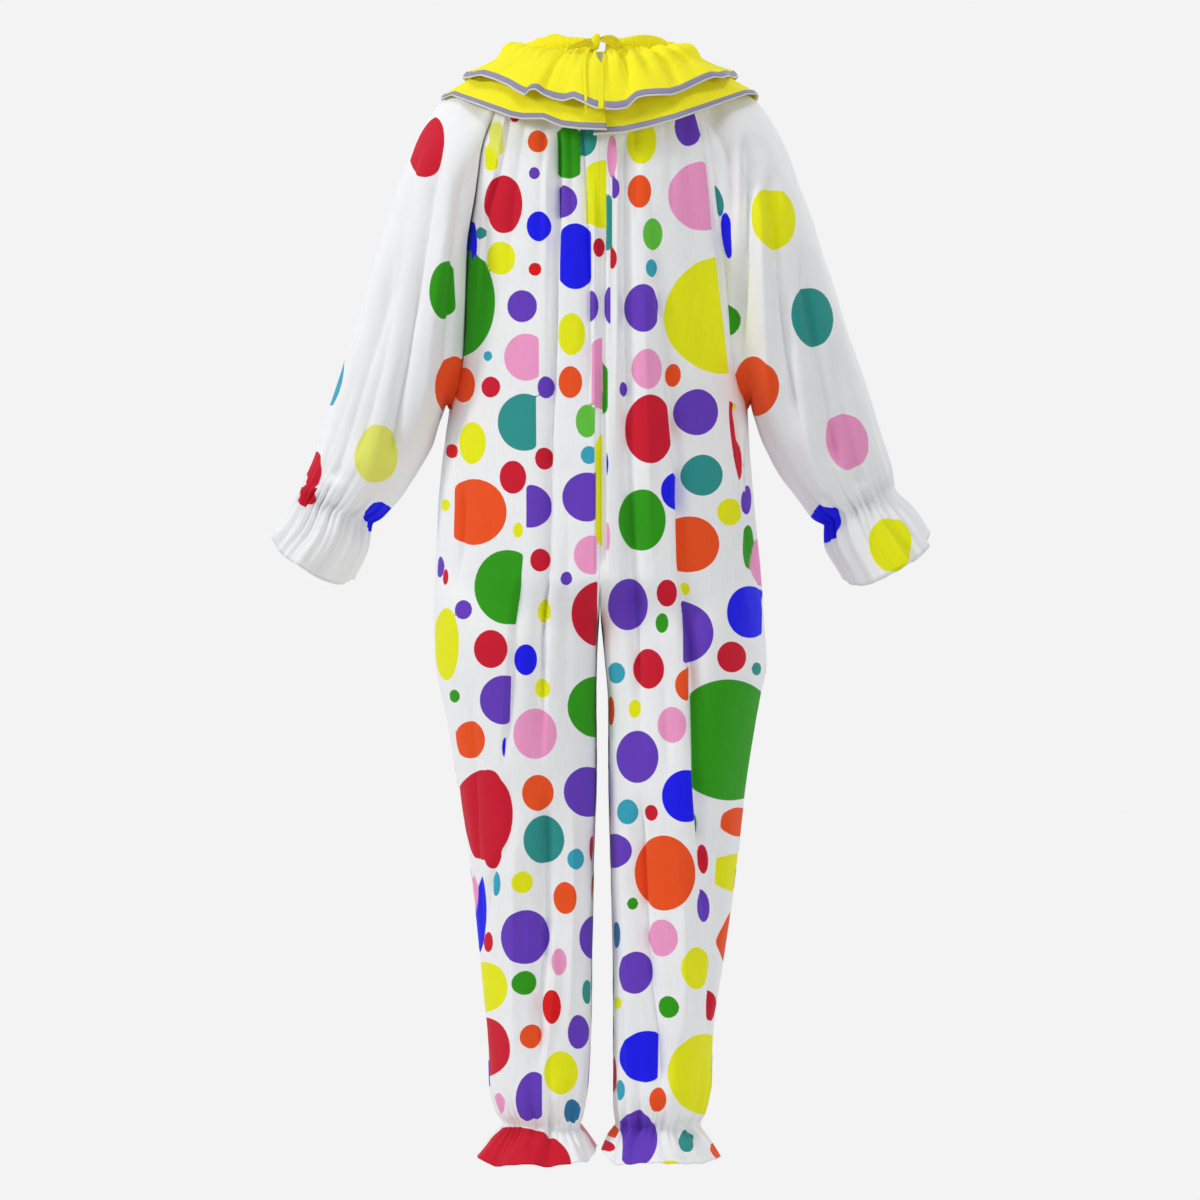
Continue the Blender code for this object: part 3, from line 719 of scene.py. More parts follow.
GREY_RIBBON = CottonFinish(
    "grey_ribbon", (152, 150, 176), (144, 143, 170), rib=0.0006, pick=0.0009, weave_height=0.00005,
    roughness=0.6, sheen=0.10)


@dataclass
class Finishes:
    """Makes each material once."""
    made: dict[str, bpy.types.Material] = field(default_factory=dict)

    def get(self, finish: CottonFinish) -> bpy.types.Material:
        """Gives the material of a finish."""
        if finish.name not in self.made:
            self.made[finish.name] = finish.make()
        return self.made[finish.name]


# ---- sewing room


def stand(name: str, data: bpy.types.ID) -> bpy.types.Object:
    """Puts a mesh, a lamp or a camera in the scene."""
    item = bpy.data.objects.new(name, data)
    bpy.context.scene.collection.objects.link(item)
    return item


def finished_mesh(maker: bmesh.types.BMesh, name: str) -> bpy.types.Mesh:
    """Turns what was made into a mesh and clears the bench."""
    mesh = bpy.data.meshes.new(name)
    maker.to_mesh(mesh)
    maker.free()
    return mesh


@dataclass
class SewingRoom:
    """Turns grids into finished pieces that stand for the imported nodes."""
    finishes: Finishes = field(default_factory=Finishes)

    def cloth(self, name: str, grid: ClothGrid, finish: CottonFinish, wall: float, slot: str,
              prints: SpotPrint | None = None, hem: Array | None = None) -> bpy.types.Object:
        """Makes a thin shell of cloth on a grid.

        Args:
            name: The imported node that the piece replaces.
            grid: The outer face of the cloth.
            finish: The cloth's finish.
            wall: The cloth's thickness, taken inward.
            slot: The record's material slot.
            prints: The spots printed on it.
            hem: The distance from each point to the hem, for hem stitching and edging.

        Returns:
            The finished object.
        """
        rows, columns = grid.points.shape[:2]
        maker = bmesh.new()
        bmesh.ops.create_grid(maker, x_segments=columns - 1, y_segments=rows - 1, size=0.5)
        mesh = finished_mesh(maker, f"{name}_cloth")
        mesh.vertices.foreach_set("co", grid.points.reshape(-1).astype(np.float32))
        corners = np.zeros(len(mesh.loops), dtype=np.int32)
        mesh.loops.foreach_get("vertex_index", corners)
        layer = mesh.uv_layers.new(name="cloth")
        layer.data.foreach_set("uv", grid.flat.reshape(-1, 2)[corners].reshape(-1).astype(np.float32))
        if prints is not None:
            self.mark(mesh, "spot_edge", "FLOAT", "value", prints.edge)
            self.mark(mesh, "spot_colour", "FLOAT_COLOR", "color", prints.colour)
        self.mark(mesh, "hem", "FLOAT", "value", np.ones(rows * columns) if hem is None else hem)
        self.turn_out(mesh, grid)
        piece = self.place(name, mesh, finish, slot)
        shell = piece.modifiers.new("wall", "SOLIDIFY")
        shell.thickness = wall
        shell.offset = -1.0
        return piece

    @staticmethod
    def mark(mesh: bpy.types.Mesh, name: str, kind: str, key: str, values: Array) -> None:
        """Stores an attribute, with its values in the order of the mesh's points."""
        layer = mesh.attributes.new(name, kind, "POINT")
        layer.data.foreach_set(key, values.reshape(-1).astype(np.float32))

    def turn_out(self, mesh: bpy.types.Mesh, grid: ClothGrid) -> None:
        """Merges a tube's seam and points the faces out of the suit."""
        maker = bmesh.new()
        maker.from_mesh(mesh)
        maker.faces.ensure_lookup_table()
        maker.normal_update()
        outward = grid.outward.reshape(-1, 3)
        sample = list(maker.faces)[:: max(1, len(maker.faces) // 400)]
        agree = sum(float(np.dot(outward[face.verts[0].index], face.normal)) for face in sample)
        if grid.closed:
            bmesh.ops.remove_doubles(maker, verts=maker.verts, dist=1e-6)
        if agree < 0.0:
            bmesh.ops.reverse_faces(maker, faces=maker.faces)
        for face in maker.faces:
            face.smooth = True
        maker.to_mesh(mesh)
        maker.free()

    def place(self, name: str, mesh: bpy.types.Mesh, finish: CottonFinish, slot: str) -> bpy.types.Object:
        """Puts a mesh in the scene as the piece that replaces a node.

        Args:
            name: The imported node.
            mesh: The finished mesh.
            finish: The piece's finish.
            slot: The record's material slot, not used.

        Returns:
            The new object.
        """
        mesh.materials.append(self.finishes.get(finish))
        piece = stand(f"{name}_cloth", mesh)
        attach(piece, "root")
        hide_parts(name)
        LOG.info("%s: %d faces", piece.name, len(mesh.polygons))
        return piece


# ---- body


class BodyRow(NamedTuple):
    """One level section through the body, from the neckline down to the ankle hem."""
    height: float          # at the side of the body
    dip: float             # how much lower the row lies at the centre back and centre front
    left: float            # half-width on the wearer's left
    right: float
    back: float            # depth behind the middle
    front: float           # depth before the middle
    back_seam_left: float  # degrees round from the centre back to the back panel's outer edge
    back_seam_right: float
    front_seam_left: float  # degrees round from the centre back to the front panel's outer edge
    front_seam_right: float
    split: float = 0.0     # 0 on the trunk, 1 where the two legs are apart
    leg_depth: float = 0.12    # half-depth of one leg
    inner_left: float = 0.0    # from the middle plane to the leg's inner edge
    inner_right: float = 0.0


LEG_BACK, LEG_FRONT = 0.143, 0.146


def leg_row(height: float, left: float, right: float, *leg: float) -> BodyRow:
    """Gives a section through the two legs, whose half-depth and inner edges come last."""
    return BodyRow(height, 0.0, left, right, LEG_BACK, LEG_FRONT, 90, 90, 90, 90, 1.0, *leg)


BODY_ROWS = table(
    BodyRow,
    (0.05, 0.0, 0.095, 0.095, 0.079, 0.083, 54, 54, 126, 126),
    (0.024, 0.014, 0.142, 0.14, 0.102, 0.106, 50, 49, 130, 130),
    (-0.003, 0.04, 0.188, 0.186, 0.127, 0.131, 45, 41, 135, 136),
    (-0.06, 0.045, 0.192, 0.19, 0.134, 0.14, 51, 45, 130, 133),
    (-0.13, 0.035, 0.19, 0.19, 0.137, 0.145, 56, 49, 124, 128),
    (-0.2, 0.022, 0.188, 0.188, 0.138, 0.148, 63, 55, 119, 123),
    (-0.27, 0.01, 0.188, 0.188, 0.138, 0.149, 65, 59, 116, 119),
    (-0.33, 0.004, 0.19, 0.188, 0.138, 0.149, 66, 62, 112, 114),
    (-0.375, 0.0, 0.192, 0.189, 0.138, 0.149, 70, 68, 102, 104),
    (-0.405, 0.0, 0.194, 0.19, 0.138, 0.149, 80, 80, 80, 80),
    (-0.45, 0.0, 0.2, 0.192, 0.139, 0.149, 68, 70, 68, 70),
    (-0.51, 0.0, 0.206, 0.197, 0.141, 0.148, 63, 68, 63, 68, 0.05, 0.122, 0.0, 0.0),
    (-0.575, 0.0, 0.208, 0.203, 0.143, 0.147, 69, 72, 69, 72, 0.36, 0.125, 0.0, 0.0),
    (-0.63, 0.0, 0.21, 0.208, 0.143, 0.146, 82, 82, 82, 82, 0.8, 0.126, 0.0, 0.0),
    (-0.665, 0.0, 0.211, 0.211, 0.143, 0.146, 88, 88, 88, 88, 1.0, 0.125, 0.001, 0.001),
) + (
    leg_row(-0.725, 0.208, 0.215, 0.121, 0.003, 0.005), leg_row(-0.78, 0.197, 0.205, 0.116, 0.004, 0.009),
    leg_row(-0.88, 0.18, 0.188, 0.107, 0.005, 0.011), leg_row(-0.99, 0.164, 0.174, 0.098, 0.009, 0.014),
    leg_row(-1.1, 0.152, 0.159, 0.09, 0.012, 0.018), leg_row(-1.2, 0.143, 0.145, 0.084, 0.014, 0.02),
    leg_row(-1.27, 0.139, 0.141, 0.078, 0.018, 0.021), leg_row(-1.3, 0.13, 0.132, 0.066, 0.024, 0.023),
    leg_row(-1.316, 0.122, 0.123, 0.052, 0.029, 0.026), leg_row(-1.336, 0.137, 0.138, 0.066, 0.018, 0.014),
    leg_row(-1.36, 0.154, 0.153, 0.082, 0.005, 0.004),
)
UNDERARM = 9
LEG_FLATNESS = 0.82
LEG_FLAT_INSIDE = {Side.LEFT: 0.30, Side.RIGHT: 0.32}   # the legs' backs stay flat almost to the inside
LEG_FLAT_OUTSIDE = {Side.LEFT: 0.80, Side.RIGHT: 1.45}
SEAT_SEAM = (-0.618, -0.700)   # the back seam opens into the two legs between these heights
SEAT_ROUND = (78.0, 50.0)      # and between these degrees from the seam
SEAM_FILL = 0.014              # how much fuller the back is beside the left raglan seam
SEAM_FILL_SPREAD = 15.0        # over how many degrees round the trunk
SEAM_FILL_TOP = (0.02, -0.07)
SEAM_FILL_FOOT = (-0.37, -0.25)
ANKLE_HEIGHT = -1.316
HEM_HEIGHT = -1.360
FINE_STATIONS = 4000


class Level(NamedTuple):
    """A stretch of the body and how far apart its mesh rows are."""
    top: float
    foot: float
    step: float


@dataclass
class BodyForm:
    """The smooth form of the trunk and legs, on which the panels and the armholes lie."""
    levels: tuple[Level, ...] = table(
        Level, (0.050, -0.020, 0.0060), (-0.020, -1.240, 0.0054), (-1.240, -1.360, 0.0025))

    def stations(self) -> Array:
        """Gives the row numbers, as fractions, at which the mesh rows lie."""
        heights: list[float] = []
        for level in self.levels:
            count = max(2, round((level.top - level.foot) / level.step))
            heights.extend(np.linspace(level.top, level.foot, count, endpoint=False))
        heights.append(self.levels[-1].foot)
        fine = np.linspace(0.0, len(BODY_ROWS) - 1.0, FINE_STATIONS)
        drop = flow_through(np.array([row.height for row in BODY_ROWS]), fine)
        return np.interp(-np.array(heights), -drop, fine)

    def rows(self, at: Array) -> dict[str, Array]:
        """Reads every column of the table at fractional rows."""
        smooth = flow_through(np.array(BODY_ROWS, dtype=float), at)
        return {name: smooth[:, k] for k, name in enumerate(BodyRow._fields)}

    def points(self, side: Side, rows: dict[str, Array], degrees: Array) -> Array:
        """Places points round the trunk, from the centre back to the centre front, or round one leg.

        Args:
            side: The wearer's side.
            rows: Table columns, one entry for each row of degrees.
            degrees: How far round, for each row and column.

        Returns:
            The points.
        """
        part = {name: value[:, None] for name, value in rows.items()}
        half, inner, high = part[side.word], part[f"inner_{side.word}"], part["height"]
        angle = np.radians(degrees)
        depth = np.where(degrees < 90.0, part["back"], part["front"])
        trunk_x, trunk_y = half * np.sin(angle), -depth * np.cos(angle)
        if side is Side.LEFT:
            by_seam = hump(degrees - part["back_seam_left"], SEAM_FILL_SPREAD)
            fill = smooth_step(*SEAM_FILL_TOP, high) * smooth_step(*SEAM_FILL_FOOT, high)
            trunk_y = trunk_y - SEAM_FILL * by_seam * fill
        late = np.minimum(part["split"], smooth_step(*SEAT_SEAM, high))
        split = part["split"] + (late - part["split"]) * smooth_step(*SEAT_ROUND, degrees)
        leg_x = (half + inner) / 2 - (half - inner) / 2 * np.cos(2 * angle)
        bend = np.sin(2 * angle)
        outer = smooth_step(20.0, 70.0, np.minimum(degrees, 90.0))
        flatness = LEG_FLAT_INSIDE[side] + (LEG_FLAT_OUTSIDE[side] - LEG_FLAT_INSIDE[side]) * outer
        flatness = np.where(degrees > 90.0, LEG_FLATNESS, flatness)
        leg_y = -part["leg_depth"] * np.sign(bend) * np.abs(bend) ** flatness
        x = trunk_x + (leg_x - trunk_x) * split
        y = trunk_y + (leg_y - trunk_y) * split
        z = high - part["dip"] * np.cos(angle) ** 2
        return np.stack([side.value * x, y, z + 0.0 * x], axis=-1)

    def middles(self, side: Side, rows: dict[str, Array]) -> Array:
        """Gives a point inside the suit at each row."""
        x = side.value * rows["split"] * (rows[side.word] + rows[f"inner_{side.word}"]) / 2
        return np.stack([x, np.zeros_like(x), rows["height"]], axis=-1)


# Fold lines: columns and rows of the chart, depth, slopes to the left and right, fades and the ridge beside.
BACK_LEFT_CREASES = table(
    Crease,
    (((581, 112), (585, 173), (588, 240), (590, 290), (591, 440)), 0.0056, 0.009, 0.004, 0.05, 0.3, 0.0012),
    (((559, 115), (559, 173), (558, 215), (555, 275), (554, 343), (550, 430), (548, 520), (546, 600), (544,
     690), (541, 780)), 0.0094, 0.012, 0.004, 0.05, 0.2, -0.0016),
    (((509, 112), (498, 170), (485, 217), (481, 268), (474, 330)), 0.003, 0.0038, 0.01, 0.0, 0.4, 0.0018),
    (((526, 112), (515, 180), (508, 250), (503, 330)), 0.0026, 0.006, 0.008, 0.0, 0.5),
    (((546, 112), (541, 170), (538, 240), (536, 320)), 0.0022, 0.006, 0.005, 0.0, 0.5),
    (((570, 112), (571, 170), (572, 240)), 0.0024, 0.005, 0.005, 0.0, 0.5),
    (((546, 790), (547, 860), (547, 935), (541, 990), (540, 1080)), 0.007, 0.008, 0.008, 0.15, 0.15),
    (((521, 560), (517, 600), (513, 630), (510, 690), (505, 745), (501, 775)), 0.004, 0.0036, 0.01, 0.2,
     0.25, 0.0013),
    (((503, 765), (511, 812), (508, 842), (493, 872), (486, 940)), 0.003, 0.006, 0.006, 0.2, 0.3),
    (((552, 925), (554, 975), (551, 1015), (544, 1075)), -0.0032, 0.0045, 0.0045, 0.2, 0.2),
    (((470, 640), (474, 760), (478, 860), (486, 960)), 0.0022, 0.01, 0.008, 0.3, 0.3),
    (((568, 470), (567, 560), (566, 650), (566, 740)), 0.0022, 0.008, 0.01, 0.4, 0.4),
    (((572, 780), (573, 860), (571, 960), (566, 1060)), -0.0034, 0.01, 0.008, 0.3, 0.2),
    (((518, 800), (514, 900), (514, 1000), (516, 1090)), -0.004, 0.012, 0.01, 0.3, 0.2),
    (((546, 150), (545, 300), (545, 460)), -0.0026, 0.01, 0.006, 0.1, 0.4),
    (((463, 470), (462, 530), (456, 600)), 0.0036, 0.006, 0.01, 0.3, 0.4),
)
BACK_RIGHT_CREASES = table(
    Crease,
    (((616, 114), (618, 200), (617, 330), (615, 460)), -0.0036, 0.0045, 0.0045, 0.0, 0.4),
    (((624, 112), (624, 240), (626, 350), (628, 430), (631, 510), (635, 600), (639, 700), (641, 790)),
     0.0078, 0.009, 0.009, 0.05, 0.25),
    (((640, 790), (643, 850), (646, 910), (649, 965), (653, 1005), (659, 1045), (664, 1098)), 0.0088, 0.012,
     0.007, 0.15, 0.1, -0.001),
    (((646, 160), (653, 215), (658, 295), (665, 345), (671, 395), (676, 445), (680, 490), (681, 545), (684,
     605), (689, 660), (693, 725), (697, 790), (701, 850), (704, 940)), 0.0112, 0.005, 0.018, 0.34, 0.15,
     0.0016),
    (((697, 112), (704, 160), (713, 226), (719, 270), (725, 320), (731, 380)), 0.005, 0.0045, 0.01, 0.0,
     0.4, 0.0012),
    (((684, 112), (690, 200), (700, 300), (708, 420)), 0.0022, 0.01, 0.008, 0.05, 0.4),
    (((634, 112), (636, 170), (638, 240)), 0.0024, 0.006, 0.006, 0.0, 0.5),
    (((664, 112), (670, 170), (674, 230)), 0.0022, 0.006, 0.008, 0.0, 0.5),
    (((643, 220), (645, 350), (648, 460), (652, 600)), -0.0032, 0.012, 0.01, 0.3, 0.4),
    (((735, 402), (740, 440), (744, 480), (748, 530), (752, 575)), 0.006, 0.0055, 0.012, 0.05, 0.35),
    (((727, 780), (721, 880), (713, 970), (706, 1060)), 0.005, 0.012, 0.008, 0.3, 0.3),
    (((682, 880), (684, 960), (680, 1060)), -0.0038, 0.01, 0.01, 0.3, 0.2),
    (((662, 640), (666, 720), (670, 800)), 0.0026, 0.008, 0.008, 0.4, 0.4),
    (((621, 800), (623, 900), (626, 1000), (629, 1090)), -0.0026, 0.006, 0.008, 0.3, 0.2),
)
FRONT_LEFT_CREASES = table(
    Crease,
    (((616, 120), (618, 260), (619, 420), (618, 560)), -0.0045, 0.008, 0.008, 0.0, 0.3),
    (((630, 120), (634, 260), (637, 420), (640, 580), (646, 720), (652, 860)), 0.0085, 0.008, 0.015, 0.05,
     0.3),
    (((662, 125), (672, 260), (680, 420), (687, 560), (694, 700)), 0.008, 0.015, 0.006, 0.1, 0.35),
    (((690, 118), (706, 200), (718, 300), (726, 390)), 0.0075, 0.006, 0.014, 0.0, 0.4),
    (((650, 900), (652, 1000), (650, 1090)), 0.006, 0.01, 0.012, 0.3, 0.15),
    (((682, 820), (684, 940), (682, 1060)), -0.0045, 0.014, 0.012, 0.3, 0.2),
    (((722, 520), (728, 640), (722, 760), (712, 880)), 0.005, 0.012, 0.012, 0.3, 0.3),
    (((648, 250), (654, 400), (660, 560)), -0.004, 0.014, 0.012, 0.3, 0.4),
)
FRONT_RIGHT_CREASES = table(
    Crease,
    (((583, 120), (580, 260), (578, 420), (575, 560)), 0.005, 0.01, 0.006, 0.0, 0.3),
    (((568, 120), (562, 260), (558, 420), (553, 580), (548, 720), (545, 860)), 0.008, 0.015, 0.007, 0.05,
     0.3),
    (((536, 125), (526, 260), (518, 420), (510, 560), (505, 690)), 0.0085, 0.006, 0.015, 0.1, 0.35),
    (((508, 118), (493, 200), (482, 300), (476, 390)), 0.0075, 0.014, 0.006, 0.0, 0.4),
    (((549, 900), (547, 1000), (550, 1090)), 0.006, 0.012, 0.01, 0.3, 0.15),
    (((516, 820), (514, 940), (518, 1060)), -0.0045, 0.012, 0.014, 0.3, 0.2),
    (((472, 540), (466, 660), (474, 780), (482, 900)), 0.005, 0.012, 0.012, 0.3, 0.3),
    (((548, 250), (542, 400), (536, 560)), -0.004, 0.012, 0.014, 0.3, 0.4),
)

# Spots: dye, column, row, width, height, tilt, the columns that show, and how those lean.
BACK_LEFT_SPOTS = table(
    Spot,
    (CRIMSON, 514, 112, 13, 18), (PALE, 495, 138, 24, 34, 0, (488, 502)),
    (YELLOW, 490, 157, 20, 27, 0, (483, 497)), (ORANGE, 537, 141, 20, 22), (PURPLE, 534, 173, 11, 12),
    (GREEN, 568, 152, 42, 52, 0, (556, 580)), (TEAL, 586, 138, 22, 34, 0, (580, FAR)),
    (YELLOW, 606, 194, 66, 68, 0, (586, FAR)), (PURPLE, 560, 201, 34, 33, 0, (557, FAR)),
    (CRIMSON, 502, 204, 39, 58), (BLUE, 538, 226, 24, 30), (YELLOW, 499, 258, 30, 33),
    (RED, 534, 269, 13, 13), (BLUE, 575, 256, 46, 66, 0, (559, 591)), (CRIMSON, 599, 247, 12, 19),
    (GREEN, 456, 302, 76, 110), (PURPLE, 521, 306, 30, 32), (TEAL, 479, 233, 9, 12), (BLUE, 471, 244, 9, 44),
    (PURPLE, 589, 305.5, 19, 32, 0, (589.7, FAR)), (YELLOW, 571, 334, 28, 42), (CYAN, 487, 356, 9, 10),
    (PINK, 525, 357, 44, 47, 0, (-FAR, 538)), (CRIMSON, 490, 387, 19, 21), (PURPLE, 544, 387, 15, 22),
    (ORANGE, 570, 382, 24, 32), (TEAL, 523, 422, 52, 57, 0, (-FAR, 535)),
    (LIGHT, 587, 421, 23, 33, 0, (-FAR, 594.8)), (PINK, 608, 373, 56, 74, 0, (591.3, 602.4)),
    (ORANGE, 463, 385, 22, 35), (YELLOW, 472, 443, 27, 42), (RED, 451, 451, 12, 14),
    (CYAN, 589, 455, 17, 18, 0, (-FAR, 594.8)), (CRIMSON, 542, 458, 17, 22), (CRIMSON, 512, 477, 26, 33),
    (ORANGE, 474, 512, 64, 66, 0, (454, FAR)), (YELLOW, 445, 505, 10, 12),
    (PURPLE, 529, 506, 39, 43, 0, (525, FAR)), (PURPLE, 587, 497, 50, 49, 0, (-FAR, 595.7)),
    (YELLOW, 517, 530, 10, 15), (YELLOW, 606, 490, 34, 118, 0, (595.5, 602.4)),
    (PINK, 592, 555, 37, 39, 0, (-FAR, 596.6)), (GREEN, 507, 587, 64, 74, 0, (-FAR, 519), -0.1),
    (CRIMSON, 538, 560, 18, 23), (PURPLE, 566, 579, 12, 15), (CRIMSON, 604, 614, 64, 67, 0, (-FAR, 597.5)),
    (PURPLE, 464, 610, 17, 19), (YELLOW, 544, 613, 14, 19), (YELLOW, 447, 644, 26, 72),
    (PURPLE, 440, 567, 8, 21), (CRIMSON, 446, 577, 6, 16), (CRIMSON, 491, 649, 33, 38),
    (BLUE, 526, 660, 24, 31), (PURPLE, 504, 700, 48, 49, 0, (-FAR, 510), -0.04), (GREEN, 455, 696, 11, 13),
    (YELLOW, 543, 689, 15, 19), (PINK, 535, 734, 44, 50), (GREEN, 599, 707, 62, 61),
    (ORANGE, 470, 740, 31, 37), (BLUE, 505, 748, 6, 22, 0, (-FAR, 505), -0.03), (CRIMSON, 483, 815, 58, 90),
    (CRIMSON, 489, 785, 25, 31), (CRIMSON, 492, 850, 17, 38), (ORANGE, 538, 793, 32, 36),
    (PURPLE, 589, 792, 50, 50), (TEAL, 544, 840, 41, 48), (CYAN, 576, 859, 18, 21),
    (CRIMSON, 593, 849, 5, 26), (YELLOW, 523, 882, 20, 22), (ORANGE, 565, 898, 22, 32),
    (CYAN, 496, 884, 10, 24), (PINK, 476, 895, 10, 42), (BLUE, 481, 914, 10, 76), (PURPLE, 526, 937, 49, 54),
    (CRIMSON, 489, 942, 9, 20), (PINK, 559, 962, 15, 27), (PURPLE, 603, 938, 47, 50),
    (YELLOW, 484, 987, 50, 50), (GREEN, 525, 983, 23, 24), (RED, 552, 1007, 18, 34), (TEAL, 587, 992, 9, 24),
    (ORANGE, 531, 1037, 22, 24), (PURPLE, 578, 1032, 21, 34), (CRIMSON, 481, 1047, 61, 61),
    (YELLOW, 561, 1073, 34, 43), (PURPLE, 532, 1097, 33, 50, 8, (-FAR, 542)), (PINK, 499, 1104, 12, 22),
    (STEEL, 572, 1112, 16, 25), (CRIMSON, 512, 1166, 118, 78),
)
BACK_RIGHT_SPOTS = table(
    Spot,
    (PINK, 612, 156, 10, 42), (TEAL, 604, 222, 30, 58, 0, (606.2, 612.2)), (YELLOW, 642, 141, 29, 45),
    (PURPLE, 612.4, 188, 15, 22, 0, (612.3, FAR)), (ORANGE, 640, 191, 23, 33), (LIGHT, 653, 234, 20, 32),
    (PURPLE, 688, 126, 27, 40, 0, (-FAR, 697), 0.31), (PINK, 703, 196, 69, 69, 0, (-FAR, 709), 0.127),
    (CYAN, 652, 268, 13, 18), (YELLOW, 725, 315, 118, 118, 0, (-FAR, 723), 0.09), (PURPLE, 643, 308, 35, 48),
    (CRIMSON, 610.5, 258.5, 13, 22, 0, (610.4, FAR)), (PINK, 647, 369, 30, 40), (ORANGE, 676, 375, 13, 23),
    (PURPLE, 611.5, 305, 15, 39, 0, (604.6, 610.6)), (GREEN, 597, 389, 30, 57, 0, (602.5, 607.9)),
    (PURPLE, 624, 389, 9, 15), (CRIMSON, 650, 429, 48, 69), (PURPLE, 698, 412, 41, 46),
    (TEAL, 704, 475, 38, 41), (BLUE, 679, 491, 37, 38, 0, (-FAR, 681)), (CRIMSON, 735.5, 440, 9, 80, -7),
    (YELLOW, 736, 408, 5, 8), (GREEN, 642, 520, 47, 61), (YELLOW, 730, 512, 25, 27),
    (PURPLE, 747, 500, 9, 29), (ORANGE, 692, 544, 55, 56, 0, (681, FAR)), (GREEN, 749, 547, 11, 44),
    (PINK, 778, 560, 56, 65), (PINK, 607, 537, 6, 30), (BLUE, 605, 464, 7, 29), (PURPLE, 628, 605, 40, 51),
    (CRIMSON, 667, 593, 21, 27), (GREEN, 662, 623, 13, 20), (YELLOW, 689, 590, 8, 13),
    (PURPLE, 684, 633, 60, 62, 0, (683, FAR)), (BLUE, 750, 612, 46, 52, 0, (-FAR, 763)),
    (CRIMSON, 732, 657, 29, 31), (TEAL, 757, 669, 10, 13), (CRIMSON, 648, 669, 32, 40),
    (CYAN, 616, 673, 18, 21), (ORANGE, 610, 711, 7, 29), (YELLOW, 634, 709, 12, 18),
    (ORANGE, 690, 685, 30, 33, 0, (-FAR, 689)), (PINK, 672, 725, 29, 36),
    (GREEN, 729, 740, 110, 121, 0, (694, FAR), 0.07), (PURPLE, 637, 757, 43, 52),
    (BLUE, 686, 796, 48, 52, 0, (-FAR, 695), 0.02), (CYAN, 627, 812, 21, 25), (CRIMSON, 651, 813, 14, 16),
    (TEAL, 700, 827, 6, 24), (ORANGE, 738, 822, 31, 29), (PURPLE, 614, 851, 34, 34),
    (ORANGE, 664, 873, 61, 75), (GREEN, 632, 904, 10, 12), (CRIMSON, 707, 860, 8, 29),
    (YELLOW, 735, 873, 38, 38), (PURPLE, 703, 906, 14, 32), (ORANGE, 730, 938, 26, 56),
    (PINK, 662, 938, 31, 37), (STEEL, 616, 935, 10, 26), (PURPLE, 635, 973, 32, 42),
    (YELLOW, 695, 968, 30, 42), (GREEN, 668, 1007, 20, 22), (YELLOW, 617, 1003, 12, 12),
    (CRIMSON, 711, 1006, 10, 30), (BLUE, 645, 1057, 49, 51, 0, (-FAR, 657)), (YELLOW, 704, 1074, 72, 80),
    (CYAN, 621, 1090, 8, 20), (CRIMSON, 613, 1076, 9, 54), (ORANGE, 658, 1100, 17, 24),
    (PURPLE, 637, 1140, 41, 58, 0, (621.5, FAR)), (TEAL, 687, 1141, 16, 23),
    (ORANGE, 612, 1131, 16, 13, 30, (-FAR, 621)), (CRIMSON, 604, 1146, 20, 10, 0, (-FAR, 620)),
    (YELLOW, 670, 1166, 16, 8), (ORANGE, 714, 1151, 12, 17),
)
SLEEVE_LEFT_SPOTS = table(
    Spot,
    (CRIMSON, 428, 147, 32, 62, 12), (GREEN, 445, 290, 31, 58, 4, (-FAR, 455.5)),
    (ORANGE, 452, 385, 36, 58, 4), (PALE, 376, 454, 46, 58), (CYAN, 336, 383, 16, 48, 20),
    (CRIMSON, 312, 474, 9, 46, 12), (CRIMSON, 307, 496, 19, 22, 10), (BLUE, 379, 520, 32, 36),
)
SLEEVE_RIGHT_SPOTS = table(
    Spot,
    (TEAL, 716, 200, 11, 30, -12), (BLUE, 726, 236, 9, 46, -8), (GREEN, 729, 320, 11, 31, -8),
    (YELLOW, 773, 218, 44, 62, -8), (TEAL, 812, 317, 41, 60, -8), (ORANGE, 757, 385, 45, 59, -6),
    (PINK, 848, 442, 43, 57, -10), (YELLOW, 890, 545, 42, 54, -12), (BLUE, 826, 523, 30, 40),
)
BACK_FOLD = 606.5          # the column of the fold where the right panel's own spots begin
BACK_FOLD_FOOT = 600


def across_the_back(left: Sequence[Spot], right: Sequence[Spot]) -> tuple[Spot, ...]:
    """Carries the left panel's spots over the centre line to the fold where the right panel's own begin.

    Args:
        left: The left panel's spots.
        right: The right panel's spots.

    Returns:
        The spots to print on the right panel.
    """
    kept = [spot._replace(keep=(spot.keep[0], min(spot.keep[1], BACK_FOLD)))
            for spot in left if spot.column + spot.width / 2 > CHART.middle and spot.row < BACK_FOLD_FOOT]
    for spot in right:
        if spot.column - spot.width / 2 < BACK_FOLD and spot.row < BACK_FOLD_FOOT:
            spot = spot._replace(keep=(spot.keep[0] if spot.keep[0] > 0.0 else BACK_FOLD, spot.keep[1]))
        kept.append(spot)
    return tuple(kept)


CHARTED_SAMPLE = 7


